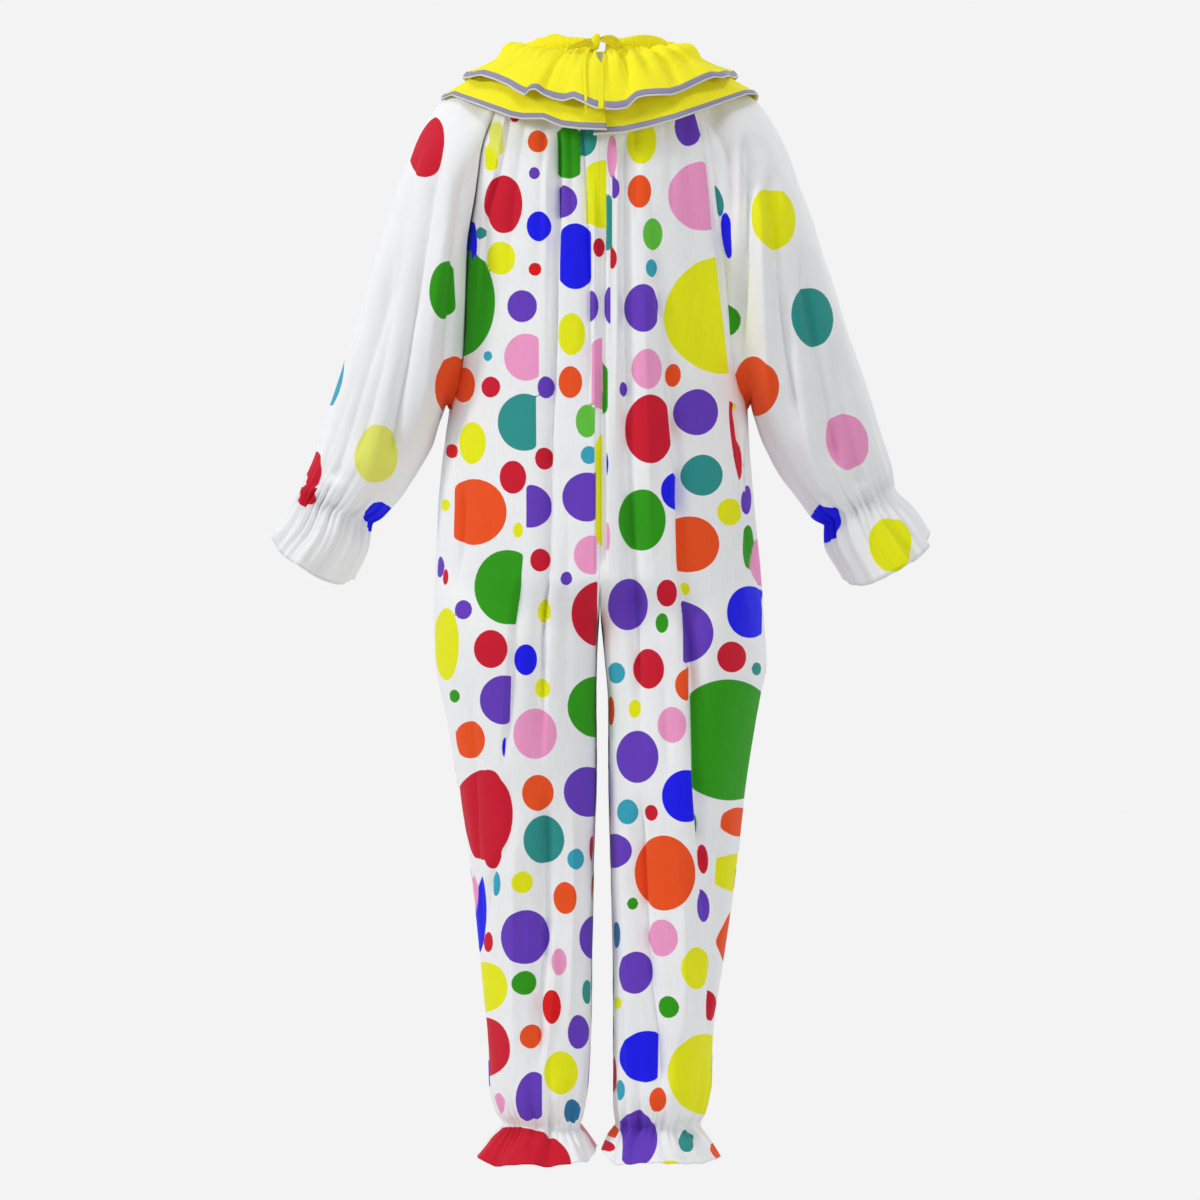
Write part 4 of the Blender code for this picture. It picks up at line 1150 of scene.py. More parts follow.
@dataclass
class Scatter:
    """Spots like the charted ones, scattered where the chart doesn't reach."""
    seed: int
    smallest: float = 5.0
    largest: float = 27.0
    gap: float = 7.0
    tries: int = 900
    size_range: tuple[float, float] = (0.85, 1.1)

    def fill(self, grid: ClothGrid, prints: SpotPrint, charted: Array) -> None:
        """Adds spots to a print.

        Args:
            grid: The smooth sheet.
            prints: The print, which already holds the charted spots.
            charted: Which points lie where the chart already gives every spot.
        """
        draw = np.random.default_rng(self.seed)
        places = np.argwhere(~charted)
        fence = grid.points[charted][::CHARTED_SAMPLE]
        dyes = list(Dye)
        last: Dye | None = None
        for attempt in range(self.tries):
            r, c = places[draw.integers(len(places))]
            share = attempt / self.tries
            radius = (self.largest + (self.smallest - self.largest) * math.sqrt(share)) * CHART.square
            radius *= float(draw.uniform(*self.size_range))
            if prints.edge[r, c] < radius + self.gap * CHART.square:
                continue
            if len(fence) and np.min(np.linalg.norm(fence - grid.points[r, c], axis=1)) < radius:
                continue
            dye = dyes[int(draw.integers(len(dyes)))]
            if dye is last or dye is PALE:
                continue
            last = dye
            offset = np.linalg.norm(grid.points - grid.points[r, c], axis=2)
            near = (offset < 3.0 * radius + SPOT_SEARCH) & (grid.outward @ grid.outward[r, c] > 0.0)
            prints.ink(near, offset[near] - radius, dye)


class AnkleGathers:
    """The gathers at the ankle and the waves of the ruffle below it."""
    SEED = 40
    FINE, LONG, WAVES, RIPPLES = table(
        GatherSet, (30, 0.0030), (13, 0.0060, 7), (6, 0.0120, 3), (17, 0.0022, 5))
    FINE_RISE, LONG_RISE = 0.030, 0.060      # how far up the leg the gathers run
    PLEAT, PLEAT_AT, PLEAT_WIDTH = 0.0150, 13.0, 6.0     # a deep fold in the ruffle, in degrees round

    @classmethod
    def height(cls, grid: ClothGrid, degrees: Array, side: Side) -> Array:
        """Works out the gathers' height at each point."""
        level, turn, seed = grid.points[..., 2], degrees / 180.0, cls.SEED + side.value
        above = np.maximum(level - ANKLE_HEIGHT, 0.0)
        below = np.clip((ANKLE_HEIGHT - level) / (ANKLE_HEIGHT - HEM_HEIGHT), 0.0, 1.0)
        fine = cls.FINE.at(turn, seed) * hump(above, cls.FINE_RISE, 1.2) * hump(below, 0.6)
        long_folds = cls.LONG.at(turn, seed)
        long_folds *= hump(above, cls.LONG_RISE, 1.5) * (1.0 - 0.8 * below)
        ruffle = (cls.WAVES.at(turn, seed) + cls.RIPPLES.at(turn, seed)) * below ** 0.8
        ruffle -= cls.PLEAT * hump(degrees - cls.PLEAT_AT, cls.PLEAT_WIDTH) * below
        return fine + long_folds + ruffle


TRUNK_FADE = (0.050, 0.020)      # heights between which the crumple fades in below the neckline
SEAT_CALM = (-0.74, -0.66)       # heights between which the centre seam's folds fade out
SLOT_TOP = (-0.10, -0.22)
SLOT_FOOT = (-0.622, -0.580)
SLOT_SOFT = (0.0015, 0.0020)
NOTCH_HEIGHTS = (0.026, 0.050)
HEM_LIFT_SPREAD = 16.0
SEAM_WIDTH = 0.006
FACES_AWAY = -0.03


@dataclass
class BodyPanels:
    """The four body panels, each cut from the neckline down to the ankle ruffle."""
    form: BodyForm
    back_columns: int = 156
    front_columns: int = 98
    wall: float = 0.0008
    allowance: float = 0.0060
    hem_lift: float = 0.012
    notch_depth: float = 0.0070
    notch_width: float = 0.0060
    slot_depth: float = 0.0076
    slot_left: float = -0.0052
    slot_right: float = 0.0086
    seam_valley: float = 0.0010
    swell: Crumple = Crumple(11, 12, 0.16, 0.34, 5.0, 0.0030)
    crumple: Crumple = Crumple(12, 22, 0.035, 0.11, 4.0, 0.0011)

    def smooth(self, side: Side, facing: Facing) -> tuple[ClothGrid, Array]:
        """Builds a panel's smooth sheet.

        Args:
            side: The wearer's side.
            facing: Back or front panel.

        Returns:
            The sheet and how far round each point is, in degrees from the centre back.
        """
        rows = self.form.rows(self.form.stations())
        back = facing is Facing.BACK
        share = np.linspace(0.0, 1.0, self.back_columns if back else self.front_columns)[None, :]
        edge = rows[f"{facing.word}_seam_{side.word}"][:, None]
        degrees = edge * share if back else 180.0 + (edge - 180.0) * share
        points = self.form.points(side, rows, degrees)
        below = np.clip((ANKLE_HEIGHT - points[..., 2]) / (ANKLE_HEIGHT - HEM_HEIGHT), 0.0, 1.0)
        notch = hump(points[..., 0], self.notch_width) * smooth_step(*NOTCH_HEIGHTS, points[..., 2])
        points[..., 2] -= self.notch_depth * notch
        points[..., 2] += self.hem_lift * below * hump(np.minimum(degrees, 180.0 - degrees), HEM_LIFT_SPREAD)
        return ClothGrid.over(points, self.form.middles(side, rows)), degrees

    def height(self, grid: ClothGrid, degrees: Array, side: Side, facing: Facing,
               creases: Sequence[Crease]) -> Array:
        """Adds up the folds of a panel.

        Args:
            grid: The smooth sheet.
            degrees: How far round each point is.
            side: The wearer's side.
            facing: Back or front panel.
            creases: The panel's fold lines.

        Returns:
            The height of each point above the smooth sheet.
        """
        x, level, across = grid.points[..., 0], grid.points[..., 2], grid.flat[..., 0]
        from_seam = across[:, -1:] - across
        total = all_creases(grid, (creases, facing))
        total *= smooth_step(0.0, 0.010, across) * smooth_step(0.0, 0.012, from_seam)
        top_fade = smooth_step(*TRUNK_FADE, level)
        total += (self.swell.height(grid.points) + self.crumple.height(grid.points)) * top_fade
        total += CRINKLE.height(grid.points) * top_fade
        total *= 1.0 - smooth_step(*SEAT_CALM, level) * smooth_step(0.016, 0.0, across)
        total -= self.seam_valley * hump(from_seam, SEAM_WIDTH, 1.5) * top_fade
        if facing is Facing.BACK:
            slot = smooth_step(self.slot_left - SLOT_SOFT[0], self.slot_left + SLOT_SOFT[0], x)
            slot *= smooth_step(self.slot_right + SLOT_SOFT[1], self.slot_right - SLOT_SOFT[1], x)
            total -= self.slot_depth * slot * (smooth_step(*SLOT_TOP, level) * smooth_step(*SLOT_FOOT, level))
        return total + AnkleGathers.height(grid, degrees, side)

    def with_allowance(self, grid: ClothGrid, facing: Facing) -> ClothGrid:
        """Adds the seam allowance that lies under the neighbouring piece.

        Args:
            grid: The folded sheet.
            facing: Back or front panel.

        Returns:
            The sheet with one more column.
        """
        way = unit(grid.points[:, -1] - grid.points[:, -4])
        high = smooth_step(-0.42, -0.38, grid.points[:, -1, 2])[:, None]
        share = np.ones_like(high) if facing is Facing.BACK else 0.05 + 0.95 * high
        extra = grid.points[:, -1] + way * self.allowance * share - grid.outward[:, -1] * self.wall * share
        flat = grid.flat[:, -1] + (self.allowance, 0.0)
        return ClothGrid(np.append(grid.points, extra[:, None], axis=1),
                         np.append(grid.outward, grid.outward[:, -1:], axis=1),
                         np.append(grid.flat, flat[:, None], axis=1))

    def build(self, room: SewingRoom, side: Side, facing: Facing, creases: Sequence[Crease],
              spots: Sequence[Spot], seed: int) -> None:
        """Makes one panel.

        Args:
            room: Where pieces are made.
            side: The wearer's side.
            facing: Back or front panel.
            creases: The panel's fold lines.
            spots: The panel's charted spots.
            seed: The seed of its scattered spots.
        """
        grid, degrees = self.smooth(side, facing)
        prints = SpotPrint.charted(grid, spots)
        Scatter(seed).fill(grid, prints, grid.outward[..., 1] < FACES_AWAY)
        raised = grid.pushed(self.height(grid, degrees, side, facing, creases))
        raised = self.with_allowance(raised, facing)
        prints = SpotPrint(np.append(prints.edge, prints.edge[:, -1:], axis=1),
                           np.append(prints.colour, prints.colour[:, -1:], axis=1))
        hem = np.append(grid.to_hem, grid.to_hem[:, -1:], axis=1)
        piece = room.cloth(f"{facing.word}_{side.word}", raised, SPOTTED_COTTON, self.wall, "spotted_cotton",
                           prints, hem)


# ---- sleeves


class SleeveRing(NamedTuple):
    """One section round a sleeve, from its outer edge to its inner edge."""
    outer_x: float
    outer_z: float
    inner_x: float
    inner_z: float
    depth: float
    middle_y: float


SLEEVE_RINGS = {
    Side.LEFT: table(
        SleeveRing,
        (0.205, -0.011, 0.196, -0.398, 0.108, -0.008), (0.2675, -0.157, 0.205, -0.424, 0.106, -0.004),
        (0.31, -0.29, 0.212, -0.449, 0.098, 0.002), (0.344, -0.39, 0.229, -0.478, 0.088, 0.008),
        (0.367, -0.463, 0.257, -0.516, 0.074, 0.012), (0.381, -0.498, 0.282, -0.538, 0.058, 0.014),
        (0.388, -0.517, 0.297, -0.5453, 0.045, 0.015), (0.405, -0.544, 0.301, -0.58, 0.056, 0.016),
        (0.4262, -0.563, 0.324, -0.629, 0.064, 0.017),
    ),
    Side.RIGHT: table(
        SleeveRing,
        (0.203, -0.011, 0.194, -0.39, 0.108, -0.008), (0.262, -0.14, 0.201, -0.412, 0.106, -0.004),
        (0.303, -0.255, 0.208, -0.434, 0.098, 0.002), (0.338, -0.356, 0.225, -0.47, 0.088, 0.008),
        (0.362, -0.438, 0.251, -0.508, 0.074, 0.012), (0.373, -0.482, 0.276, -0.54, 0.058, 0.014),
        (0.3745, -0.503, 0.293, -0.549, 0.045, 0.015), (0.399, -0.53, 0.2915, -0.576, 0.056, 0.016),
        (0.425, -0.564, 0.316, -0.626, 0.066, 0.017),
    ),
}
BACK_SHARE = 0.41
SHOULDER_SHARE = 0.18
WRIST_RING = 7             # counting the armhole line as ring 0
CUFF_DROP = {Side.LEFT: 0.006, Side.RIGHT: 0.012}   # how much lower the cuff's hem hangs between its edges
CUFF_RISE = 0.019          # how much its edges are drawn back
CUFF_BACK = 0.004          # how much lower the back of the hem hangs than its front
SLEEVE_CHARTED = 0.22      # cloth that faces the front less than this is charted

SLEEVE_LEFT_CREASES = table(
    Crease,
    (((470, 150), (461, 200), (455, 250), (450, 320), (441, 400)), 0.0042, 0.01, 0.006, 0.2, 0.3),
    (((448, 130), (432, 190), (422, 260), (412, 330), (402, 400), (392, 470)), 0.0094, 0.014, 0.008, 0.2,
     0.1),
    (((425, 130), (408, 200), (395, 270), (382, 340), (368, 410), (352, 470)), 0.0068, 0.016, 0.01, 0.3, 0.1),
    (((395, 230), (380, 300), (360, 370), (340, 440), (330, 485)), 0.008, 0.01, 0.014, 0.3, 0.05),
    (((456, 180), (444, 240), (434, 310), (424, 390), (410, 460)), -0.005, 0.012, 0.012, 0.3, 0.3),
    (((360, 340), (342, 400), (322, 460), (312, 490)), 0.004, 0.01, 0.01, 0.3, 0.05),
)
SLEEVE_RIGHT_CREASES = table(
    Crease,
    (((712, 110), (722, 140), (728, 190), (728, 250)), 0.008, 0.008, 0.012, 0.0, 0.4),
    (((744, 128), (748, 162), (743, 230), (736, 300), (738, 370)), 0.0126, 0.008, 0.015, 0.1, 0.3),
    (((741, 120), (740, 200), (737, 300)), -0.005, 0.01, 0.01, 0.2, 0.4),
    (((774, 160), (776, 219), (780, 290), (790, 370), (806, 450)), 0.0094, 0.012, 0.007, 0.15, 0.2),
    (((758, 180), (762, 260), (768, 340), (775, 430)), -0.006, 0.012, 0.01, 0.2, 0.3),
    (((801, 240), (810, 300), (818, 346), (828, 400), (838, 470)), 0.0075, 0.012, 0.007, 0.2, 0.1),
    (((828, 330), (842, 390), (856, 450), (862, 490)), 0.005, 0.01, 0.01, 0.3, 0.05),
    (((790, 330), (800, 400), (818, 470), (830, 500)), -0.0045, 0.01, 0.01, 0.3, 0.1),
)
SLEEVE_FRONT_CREASES = table(
    Crease,
    (((736, 120), (750, 200), (760, 290), (772, 380), (796, 460)), 0.008, 0.012, 0.008, 0.15, 0.2),
    (((762, 150), (778, 230), (794, 320), (815, 400), (836, 470)), 0.007, 0.008, 0.014, 0.2, 0.1),
    (((724, 130), (733, 220), (740, 320), (752, 400)), 0.0075, 0.012, 0.007, 0.1, 0.3),
    (((790, 220), (808, 300), (830, 390), (852, 460)), 0.0055, 0.012, 0.01, 0.3, 0.1),
)


@dataclass
class Sleeves:
    """The raglan sleeves, from the armhole to the hem of the wrist ruffle."""
    form: BodyForm
    around: int = 176
    along: int = 124
    wall: float = 0.0008
    lap: float = 0.0045
    lap_under_by: float = 0.0012
    seam_valley: float = 0.0010
    swell: Crumple = Crumple(21, 12, 0.12, 0.30, 4.0, 0.0030)
    crumple: Crumple = Crumple(22, 22, 0.032, 0.10, 3.0, 0.0013)
    seed: int = 60
    fine: GatherSet = GatherSet(32, 0.0076)
    long: GatherSet = GatherSet(13, 0.0060, 7)
    waves: GatherSet = GatherSet(7, 0.0110, 3)
    ripples: GatherSet = GatherSet(16, 0.0046, 5)

    def armhole(self, side: Side, shares: Array) -> Array:
        """Gives points on the seam line, for shares round the sleeve that start at the underarm.

        Args:
            side: The wearer's side.
            shares: From 0 to 1.

        Returns:
            The points.
        """
        back_seam, front_seam = f"back_seam_{side.word}", f"front_seam_{side.word}"
        front_start = BACK_SHARE + SHOULDER_SHARE
        row = np.where(shares <= BACK_SHARE, UNDERARM * (1.0 - shares / BACK_SHARE),
                       np.where(shares >= front_start, UNDERARM * (shares - front_start) / BACK_SHARE, 0.0))
        rows = self.form.rows(np.clip(row, 0.0, float(UNDERARM)))
        over = np.clip((shares - BACK_SHARE) / SHOULDER_SHARE, 0.0, 1.0)
        start, end = getattr(BODY_ROWS[0], back_seam), getattr(BODY_ROWS[0], front_seam)
        degrees = np.where(shares < BACK_SHARE, rows[back_seam],
                           np.where(shares > front_start, rows[front_seam], start + (end - start) * over))
        return self.form.points(side, rows, degrees[:, None])[:, 0]

    def smooth(self, side: Side) -> tuple[ClothGrid, Array, Array]:
        """Builds a sleeve's smooth sheet.

        Args:
            side: The wearer's side.

        Returns:
            The sheet, the share round it of each column, and the ring number of each row.
        """
        shares = np.linspace(0.0, 1.0, self.around)
        angle = TURN * shares
        rings = [self.armhole(side, shares)]
        middles = [rings[0].mean(axis=0)]
        for ring in SLEEVE_RINGS[side]:
            outer = np.array((side.value * ring.outer_x, ring.middle_y, ring.outer_z))
            inner = np.array((side.value * ring.inner_x, ring.middle_y, ring.inner_z))
            centre, across = (outer + inner) / 2, (outer - inner) / 2
            place = centre - across * np.cos(angle)[:, None]
            place[:, 1] -= ring.depth * np.sin(angle)
            past = max(0.0, (len(rings) - WRIST_RING) / 2.0) ** 2
            along = unit(centre - middles[-1])
            drop = CUFF_DROP[side] - CUFF_RISE * np.abs(np.cos(angle)) ** 5 + CUFF_BACK * np.sin(angle)
            place += along * (past * drop)[:, None]
            rings.append(place)
            middles.append(centre)
        at = np.concatenate([
            np.linspace(0.0, 1.0, 22, endpoint=False), np.linspace(1.0, 5.0, self.along - 62, endpoint=False),
            np.linspace(5.0, len(rings) - 1.0, 40)])
        points = flow_through(np.array(rings), at)
        points[:, -1] = points[:, 0]
        return ClothGrid.over(points, flow_through(np.array(middles), at), closed=True), shares, at

    def wrist_gathers(self, shares: Array, at: Array, side: Side) -> Array:
        """Works out the gathers above the wrist and the waves of the ruffle below it."""
        turn, seed = shares[None, :], self.seed + side.value
        above = np.maximum(WRIST_RING - at, 0.0)[:, None]
        below = np.clip((at - WRIST_RING) / 2.0, 0.0, 1.0)[:, None]
        fine = self.fine.at(turn, seed) * hump(above, 1.2, 1.4) * hump(below, 0.7)
        long_folds = self.long.at(turn, seed) * hump(above, 2.0, 1.6) * (1.0 - 0.8 * below)
        ruffle = (self.waves.at(turn, seed) + self.ripples.at(turn, seed)) * below ** 0.8
        ruffle = ruffle * (1.0 - 0.85 * np.abs(np.cos(TURN * turn)) ** 10)
        return fine + long_folds + ruffle

    def lap_under(self, grid: ClothGrid) -> None:
        """Turns the sleeve's first row under the body panels, as a seam allowance."""
        way = unit(grid.points[0] - grid.points[2])
        grid.points[0] = grid.points[0] + way * self.lap - grid.outward[0] * self.lap_under_by
        grid.points[0, -1] = grid.points[0, 0]

    def build(self, room: SewingRoom, side: Side, creases: Sequence[Crease], front_creases: Sequence[Crease],
              spots: Sequence[Spot], seed: int) -> None:
        """Makes one sleeve.

        Args:
            room: Where pieces are made.
            side: The wearer's side.
            creases: Fold lines seen from behind.
            front_creases: Fold lines seen from the front.
            spots: Charted spots.
            seed: The seed of its scattered spots.
        """
        grid, shares, at = self.smooth(side)
        prints = SpotPrint.charted(grid, spots)
        scatter = Scatter(seed, smallest=14.0, largest=30.0, gap=38.0)
        scatter.fill(grid, prints, grid.outward[..., 1] < SLEEVE_CHARTED)
        total = all_creases(grid, (creases, Facing.BACK), (front_creases, Facing.FRONT))
        from_start = grid.flat[..., 1]
        total *= smooth_step(0.0, 0.014, from_start)
        calm = np.minimum(smooth_step(0.0, 0.05, from_start) + 0.25, 1.0)
        total += (self.swell.height(grid.points) + self.crumple.height(grid.points)) * calm
        total += CRINKLE.height(grid.points)
        total -= self.seam_valley * hump(from_start, SEAM_WIDTH, 1.5)
        total += self.wrist_gathers(shares, at, side)
        total[:, -1] = total[:, 0]
        raised = grid.pushed(total)
        self.lap_under(raised)
        piece = room.cloth(f"sleeve_{side.word}", raised, SPOTTED_SLEEVE, self.wall, "spotted_cotton", prints,
                           grid.to_hem)


# ---- collar


class TierRow(NamedTuple):
    """One ring of a collar tier, from the neck outwards."""
    reach: float           # 0 at the neck, 1 at the edge
    side: float
    back: float
    front: float
    side_height: float
    back_height: float
    front_height: float
    wave: float            # height of the ruffles
    left_end: float        # x of the wearer's left end at the centre back
    right_end: float


UPPER_TIER = table(
    TierRow,
    (0.0, 0.0952, 0.0792, 0.0832, 0.0536, 0.0536, 0.0536, 0.0, -0.007, 0.007),
    (0.4, 0.1305, 0.117, 0.122, 0.047, 0.031, 0.03, 0.0015, -0.0034, 0.003),
    (0.49, 0.139, 0.1234, 0.1285, 0.0428, 0.0216, 0.02, 0.0018, -0.0013, 0.0014),
    (0.91, 0.169, 0.153, 0.159, 0.0305, -0.0225, -0.0265, 0.003, -0.0025, 0.0059),
    (0.975, 0.1735, 0.157, 0.163, 0.025, -0.0305, -0.0345, 0.0033, -0.0027, 0.0061),
    (1.0, 0.175, 0.1582, 0.1643, 0.023, -0.033, -0.037, 0.0034, -0.0028, 0.0062),
)
LOWER_TIER = table(
    TierRow,
    (0.0, 0.0952, 0.0792, 0.0832, 0.0518, 0.0518, 0.0518, 0.0, -0.007, 0.007),
    (0.4, 0.141, 0.116, 0.121, 0.032, 0.013, 0.012, 0.0008, 0.0014, -0.0014),
    (0.942, 0.1975, 0.1508, 0.1578, -0.0007, -0.0512, -0.0562, 0.0018, 0.0079, -0.0079),
    (0.984, 0.201, 0.1535, 0.1605, -0.0045, -0.0575, -0.0625, 0.002, 0.0083, -0.0083),
    (1.0, 0.2025, 0.1545, 0.1615, -0.006, -0.06, -0.065, 0.002, 0.0085, -0.0085),
)
END_TUCK_DEGREES = 14.0
TUCK_REACH = 0.4
TUCK_GAIN = 1.3
WAVE_DRIFT = 0.9
WAVE_SHIFT = 0.5
TIER_RADIUS = 0.15
FACING_REACH = (0.25, 0.60)     # the left end's facing runs out between these reaches
BACK_BLEND = (-0.05, 0.25)      # cosines between which the front passes into the back
MOST_EDGE_SHIFT = 0.014
GATHER_REACH = 0.22             # how far down a tier its neck gathers run
TIER_INSIDE = (0.0, 0.0, -0.2)
RIBBON_LIFT = 0.0007

# The edges as they hang at the back: columns and rows of the chart.
UPPER_EDGE_LEFT = (
    (462, 79), (471, 77), (480, 75), (493, 79), (507, 85), (516, 91), (524, 95), (529, 90), (535, 89),
    (545, 95), (553, 99), (563, 101), (573, 98), (582, 102), (590, 106), (598, 109),
)
UPPER_EDGE_RIGHT = (
    (605, 109), (616, 110), (627, 108), (633, 102), (637, 98), (645, 96), (660, 95), (672, 95), (681, 92),
    (694, 86), (706, 80), (715, 77), (723, 78), (730, 76), (736, 79),
)
LOWER_EDGE_LEFT = (
    (443, 98), (451, 95), (470, 102), (497, 112), (510, 117), (522, 119), (543, 119), (552, 123), (562, 127),
    (580, 129), (607, 130),
)
LOWER_EDGE_RIGHT = (
    (594, 135), (610, 134), (624, 133), (650, 127), (678, 119), (706, 109), (728, 101), (748, 94), (753, 94),
)


class PleatedTuck(NamedTuple):
    """A fold down a collar tier, by its place round the neck in degrees from the centre back."""
    degrees: float
    depth: float
    width: float
    start: float
    end: float


UPPER_TUCKS = table(
    PleatedTuck,
    (-24.0, 0.005, 2.6, 0.0, 1.1), (-12.0, 0.003, 2.0, 0.0, 0.7), (-36.0, 0.003, 2.5, 0.0, 0.6),
    (-50.0, 0.004, 3.0, 0.0, 0.9), (13.5, 0.006, 1.7, 0.0, 0.9), (24.0, 0.004, 2.4, 0.05, 0.8),
    (36.0, 0.005, 2.6, 0.0, 1.0), (52.0, 0.0035, 3.0, 0.0, 0.8), (70.0, 0.0045, 3.0, 0.0, 1.0),
    (-70.0, 0.0045, 3.0, 0.0, 1.0), (92.0, 0.004, 3.0, 0.0, 0.9), (-95.0, 0.004, 3.0, 0.0, 0.9),
    (112.0, 0.0045, 3.0, 0.0, 1.0), (-118.0, 0.0045, 3.0, 0.0, 1.0), (134.0, 0.004, 2.6, 0.0, 0.8),
    (-138.0, 0.004, 2.6, 0.0, 1.0), (154.0, 0.0045, 2.6, 0.0, 1.0), (-160.0, 0.004, 2.6, 0.0, 0.8),
    (176.0, 0.0045, 2.6, 0.0, 1.0),
)


@dataclass
class CollarTier:
    """One gathered tier of the collar, open at the centre back."""
    word: str
    rows: tuple[TierRow, ...]
    waves: int
    edge_left: tuple[tuple[float, float], ...]
    edge_right: tuple[tuple[float, float], ...]
    seed: int
    tucks: tuple[PleatedTuck, ...] = ()
    tuck: float = 0.0
    puff: float = 0.0
    facing: float = 0.0
    narrower_edging: float = 0.0
    pinches: int = 84
    pinch_height: float = 0.0034
    columns: int = 560
    depth_rows: int = 30
    wall: float = 0.0007

    def surface(self, reaches: Array, facing: float = 0.0) -> tuple[Array, Array]:
        """Works out the tier's smooth surface.

        Args:
            reaches: How far from the neck each row lies, from 0 to 1.
            facing: How far the left half runs on past its ribbon.

        Returns:
            The points, and the degrees round from the centre back.
        """
        rows = np.array(self.rows, dtype=float)
        smooth = flow_through(rows, np.interp(reaches, rows[:, 0], np.arange(len(rows))))
        part = {name: smooth[:, k][:, None] for k, name in enumerate(TierRow._fields)}
        reach, side = reaches[:, None], part["side"]
        start = np.degrees(np.arcsin(part["right_end"] / side))
        left_end = part["left_end"] + facing * smooth_step(*FACING_REACH, reach)
        stop = 360.0 + np.degrees(np.arcsin(left_end / side))
        degrees = start + (stop - start) * np.linspace(0.0, 1.0, self.columns)[None, :]
        angle = np.radians(degrees)
        cosine = np.cos(angle)
        depth = np.where(cosine > 0.0, part["back"], part["front"])
        end_height = np.where(cosine > 0.0, part["back_height"], part["front_height"])
        height = part["side_height"] + (end_height - part["side_height"]) * cosine ** 2
        wave = part["wave"] * np.cos(self.waves * angle + WAVE_DRIFT * np.sin(2 * angle)
                                     + WAVE_SHIFT * (1 + cosine) / 2)
        radial = 1.0 + wave / TIER_RADIUS
        if self.tuck > 0.0:
            closeness = np.clip(2.0 - degrees / END_TUCK_DEGREES, 0.0, 1.0)
            radial = radial - self.tuck * closeness * np.minimum(reach / TUCK_REACH, 1.0) / depth
        puff = self.puff * np.sin(math.pi * np.minimum(reach / TUCK_REACH, 1.0)) * np.sin(angle) ** 2
        points = np.stack([side * radial * np.sin(angle), -depth * radial * cosine,
                           height + wave * (1.0 - smooth_step(*BACK_BLEND, cosine)) + puff], axis=-1)
        return points, degrees

    def grid(self, reaches: Array, facing: float = 0.0) -> ClothGrid:
        """Builds the tier, or a band of it.

        Args:
            reaches: How far from the neck each row lies, from 0 to 1.
            facing: How far the left half runs on past its ribbon.

        Returns:
            The band's outer face.
        """
        points, degrees = self.surface(reaches, facing)
        edge, edge_degrees = self.surface(np.array([1.0]), facing)
        back = smooth_step(*BACK_BLEND, np.cos(np.radians(degrees)))
        points[..., 2] += self.edge_shift(edge[0], edge_degrees[0])[None, :] * back * reaches[:, None] ** 1.6
        middles = np.tile(np.array(TIER_INSIDE), (len(reaches), 1))
        return ClothGrid.over(points, middles).pushed(self.folds(degrees, reaches[:, None]))

    def edge_shift(self, edge: Array, degrees: Array) -> Array:
        """Works out how far the edge must move, at each column, to hang as the chart says."""
        seen = CHART.read(edge, Facing.BACK)
        left, right = (np.interp(seen[:, 0], *np.array(line).T) for line in (self.edge_left, self.edge_right))
        wanted = np.where(degrees < 180.0, right, left)
        shift = (seen[:, 1] - wanted) * CHART.square * (CHART.distance + edge[:, 1]) / CHART.distance
        return np.clip(shift, -MOST_EDGE_SHIFT, MOST_EDGE_SHIFT)

    def folds(self, degrees: Array, reach: Array) -> Array:
        """Works out the gathers at the neck and the longer folds."""
        turn = degrees / 360.0
        fine = gathers(turn, self.pinches, self.seed) * self.pinch_height * hump(reach, GATHER_REACH, 1.2)
        fine += (gathers(turn, self.pinches // 3, self.seed + 1) * self.pinch_height * 1.6
                 * hump(reach - GATHER_REACH, 0.40))
        total = fine * smooth_step(-0.02, 0.05, reach)
        off = degrees - 360.0 * np.round(degrees / 360.0)
        for tuck in self.tucks:
            gap = np.abs(off - tuck.degrees)
            gap = np.minimum(gap, 360.0 - gap)
            run = smooth_step(tuck.start - 0.05, tuck.start + 0.1, reach)
            run = run * smooth_step(tuck.end, tuck.end - 0.35, reach)
            total = total - TUCK_GAIN * tuck.depth * run * hump(gap, tuck.width, CREASE_SHARPNESS)
        return total

    def build(self, room: SewingRoom) -> None:
        """Makes the tier and its ribbon."""
        reaches = np.concatenate([np.linspace(0.0, 0.30, 10, endpoint=False),
                                  np.linspace(0.30, 1.0, self.depth_rows - 10)])
        grid = self.grid(reaches, self.facing)
        band = self.grid(np.linspace(self.rows[-3].reach, self.rows[-2].reach, 5))
        strip = (np.arange(self.columns) > self.columns // 2) & (grid.points[..., 0] > band.points[-1, -1, 0])
        hem = np.where(strip & (self.facing > 0.0), 1.0, grid.to_hem + self.narrower_edging)
        piece = room.cloth(f"collar_{self.word}", grid, YELLOW_COTTON, self.wall, "yellow_cotton", None, hem)
        raised = band.pushed(np.full(band.points.shape[:2], RIBBON_LIFT))
        ribbon = room.cloth(f"trim_{self.word}", raised, GREY_RIBBON, 0.0005, "grey_ribbon")


CASING_LOW = 0.0515
CASING_HIGH = 0.0655
CASING_CLEAR = 0.0004
CASING_BELLY = 0.0026
CASING_SAG, SAG_SPREAD = 0.0022, 22.0
HUMP_AT, HUMP_SPREAD = 39.0, 15.0
CASING_GATHERS, CASING_WOBBLE = table(GatherSet, (64, 1.0), (15, 0.0014, 1))


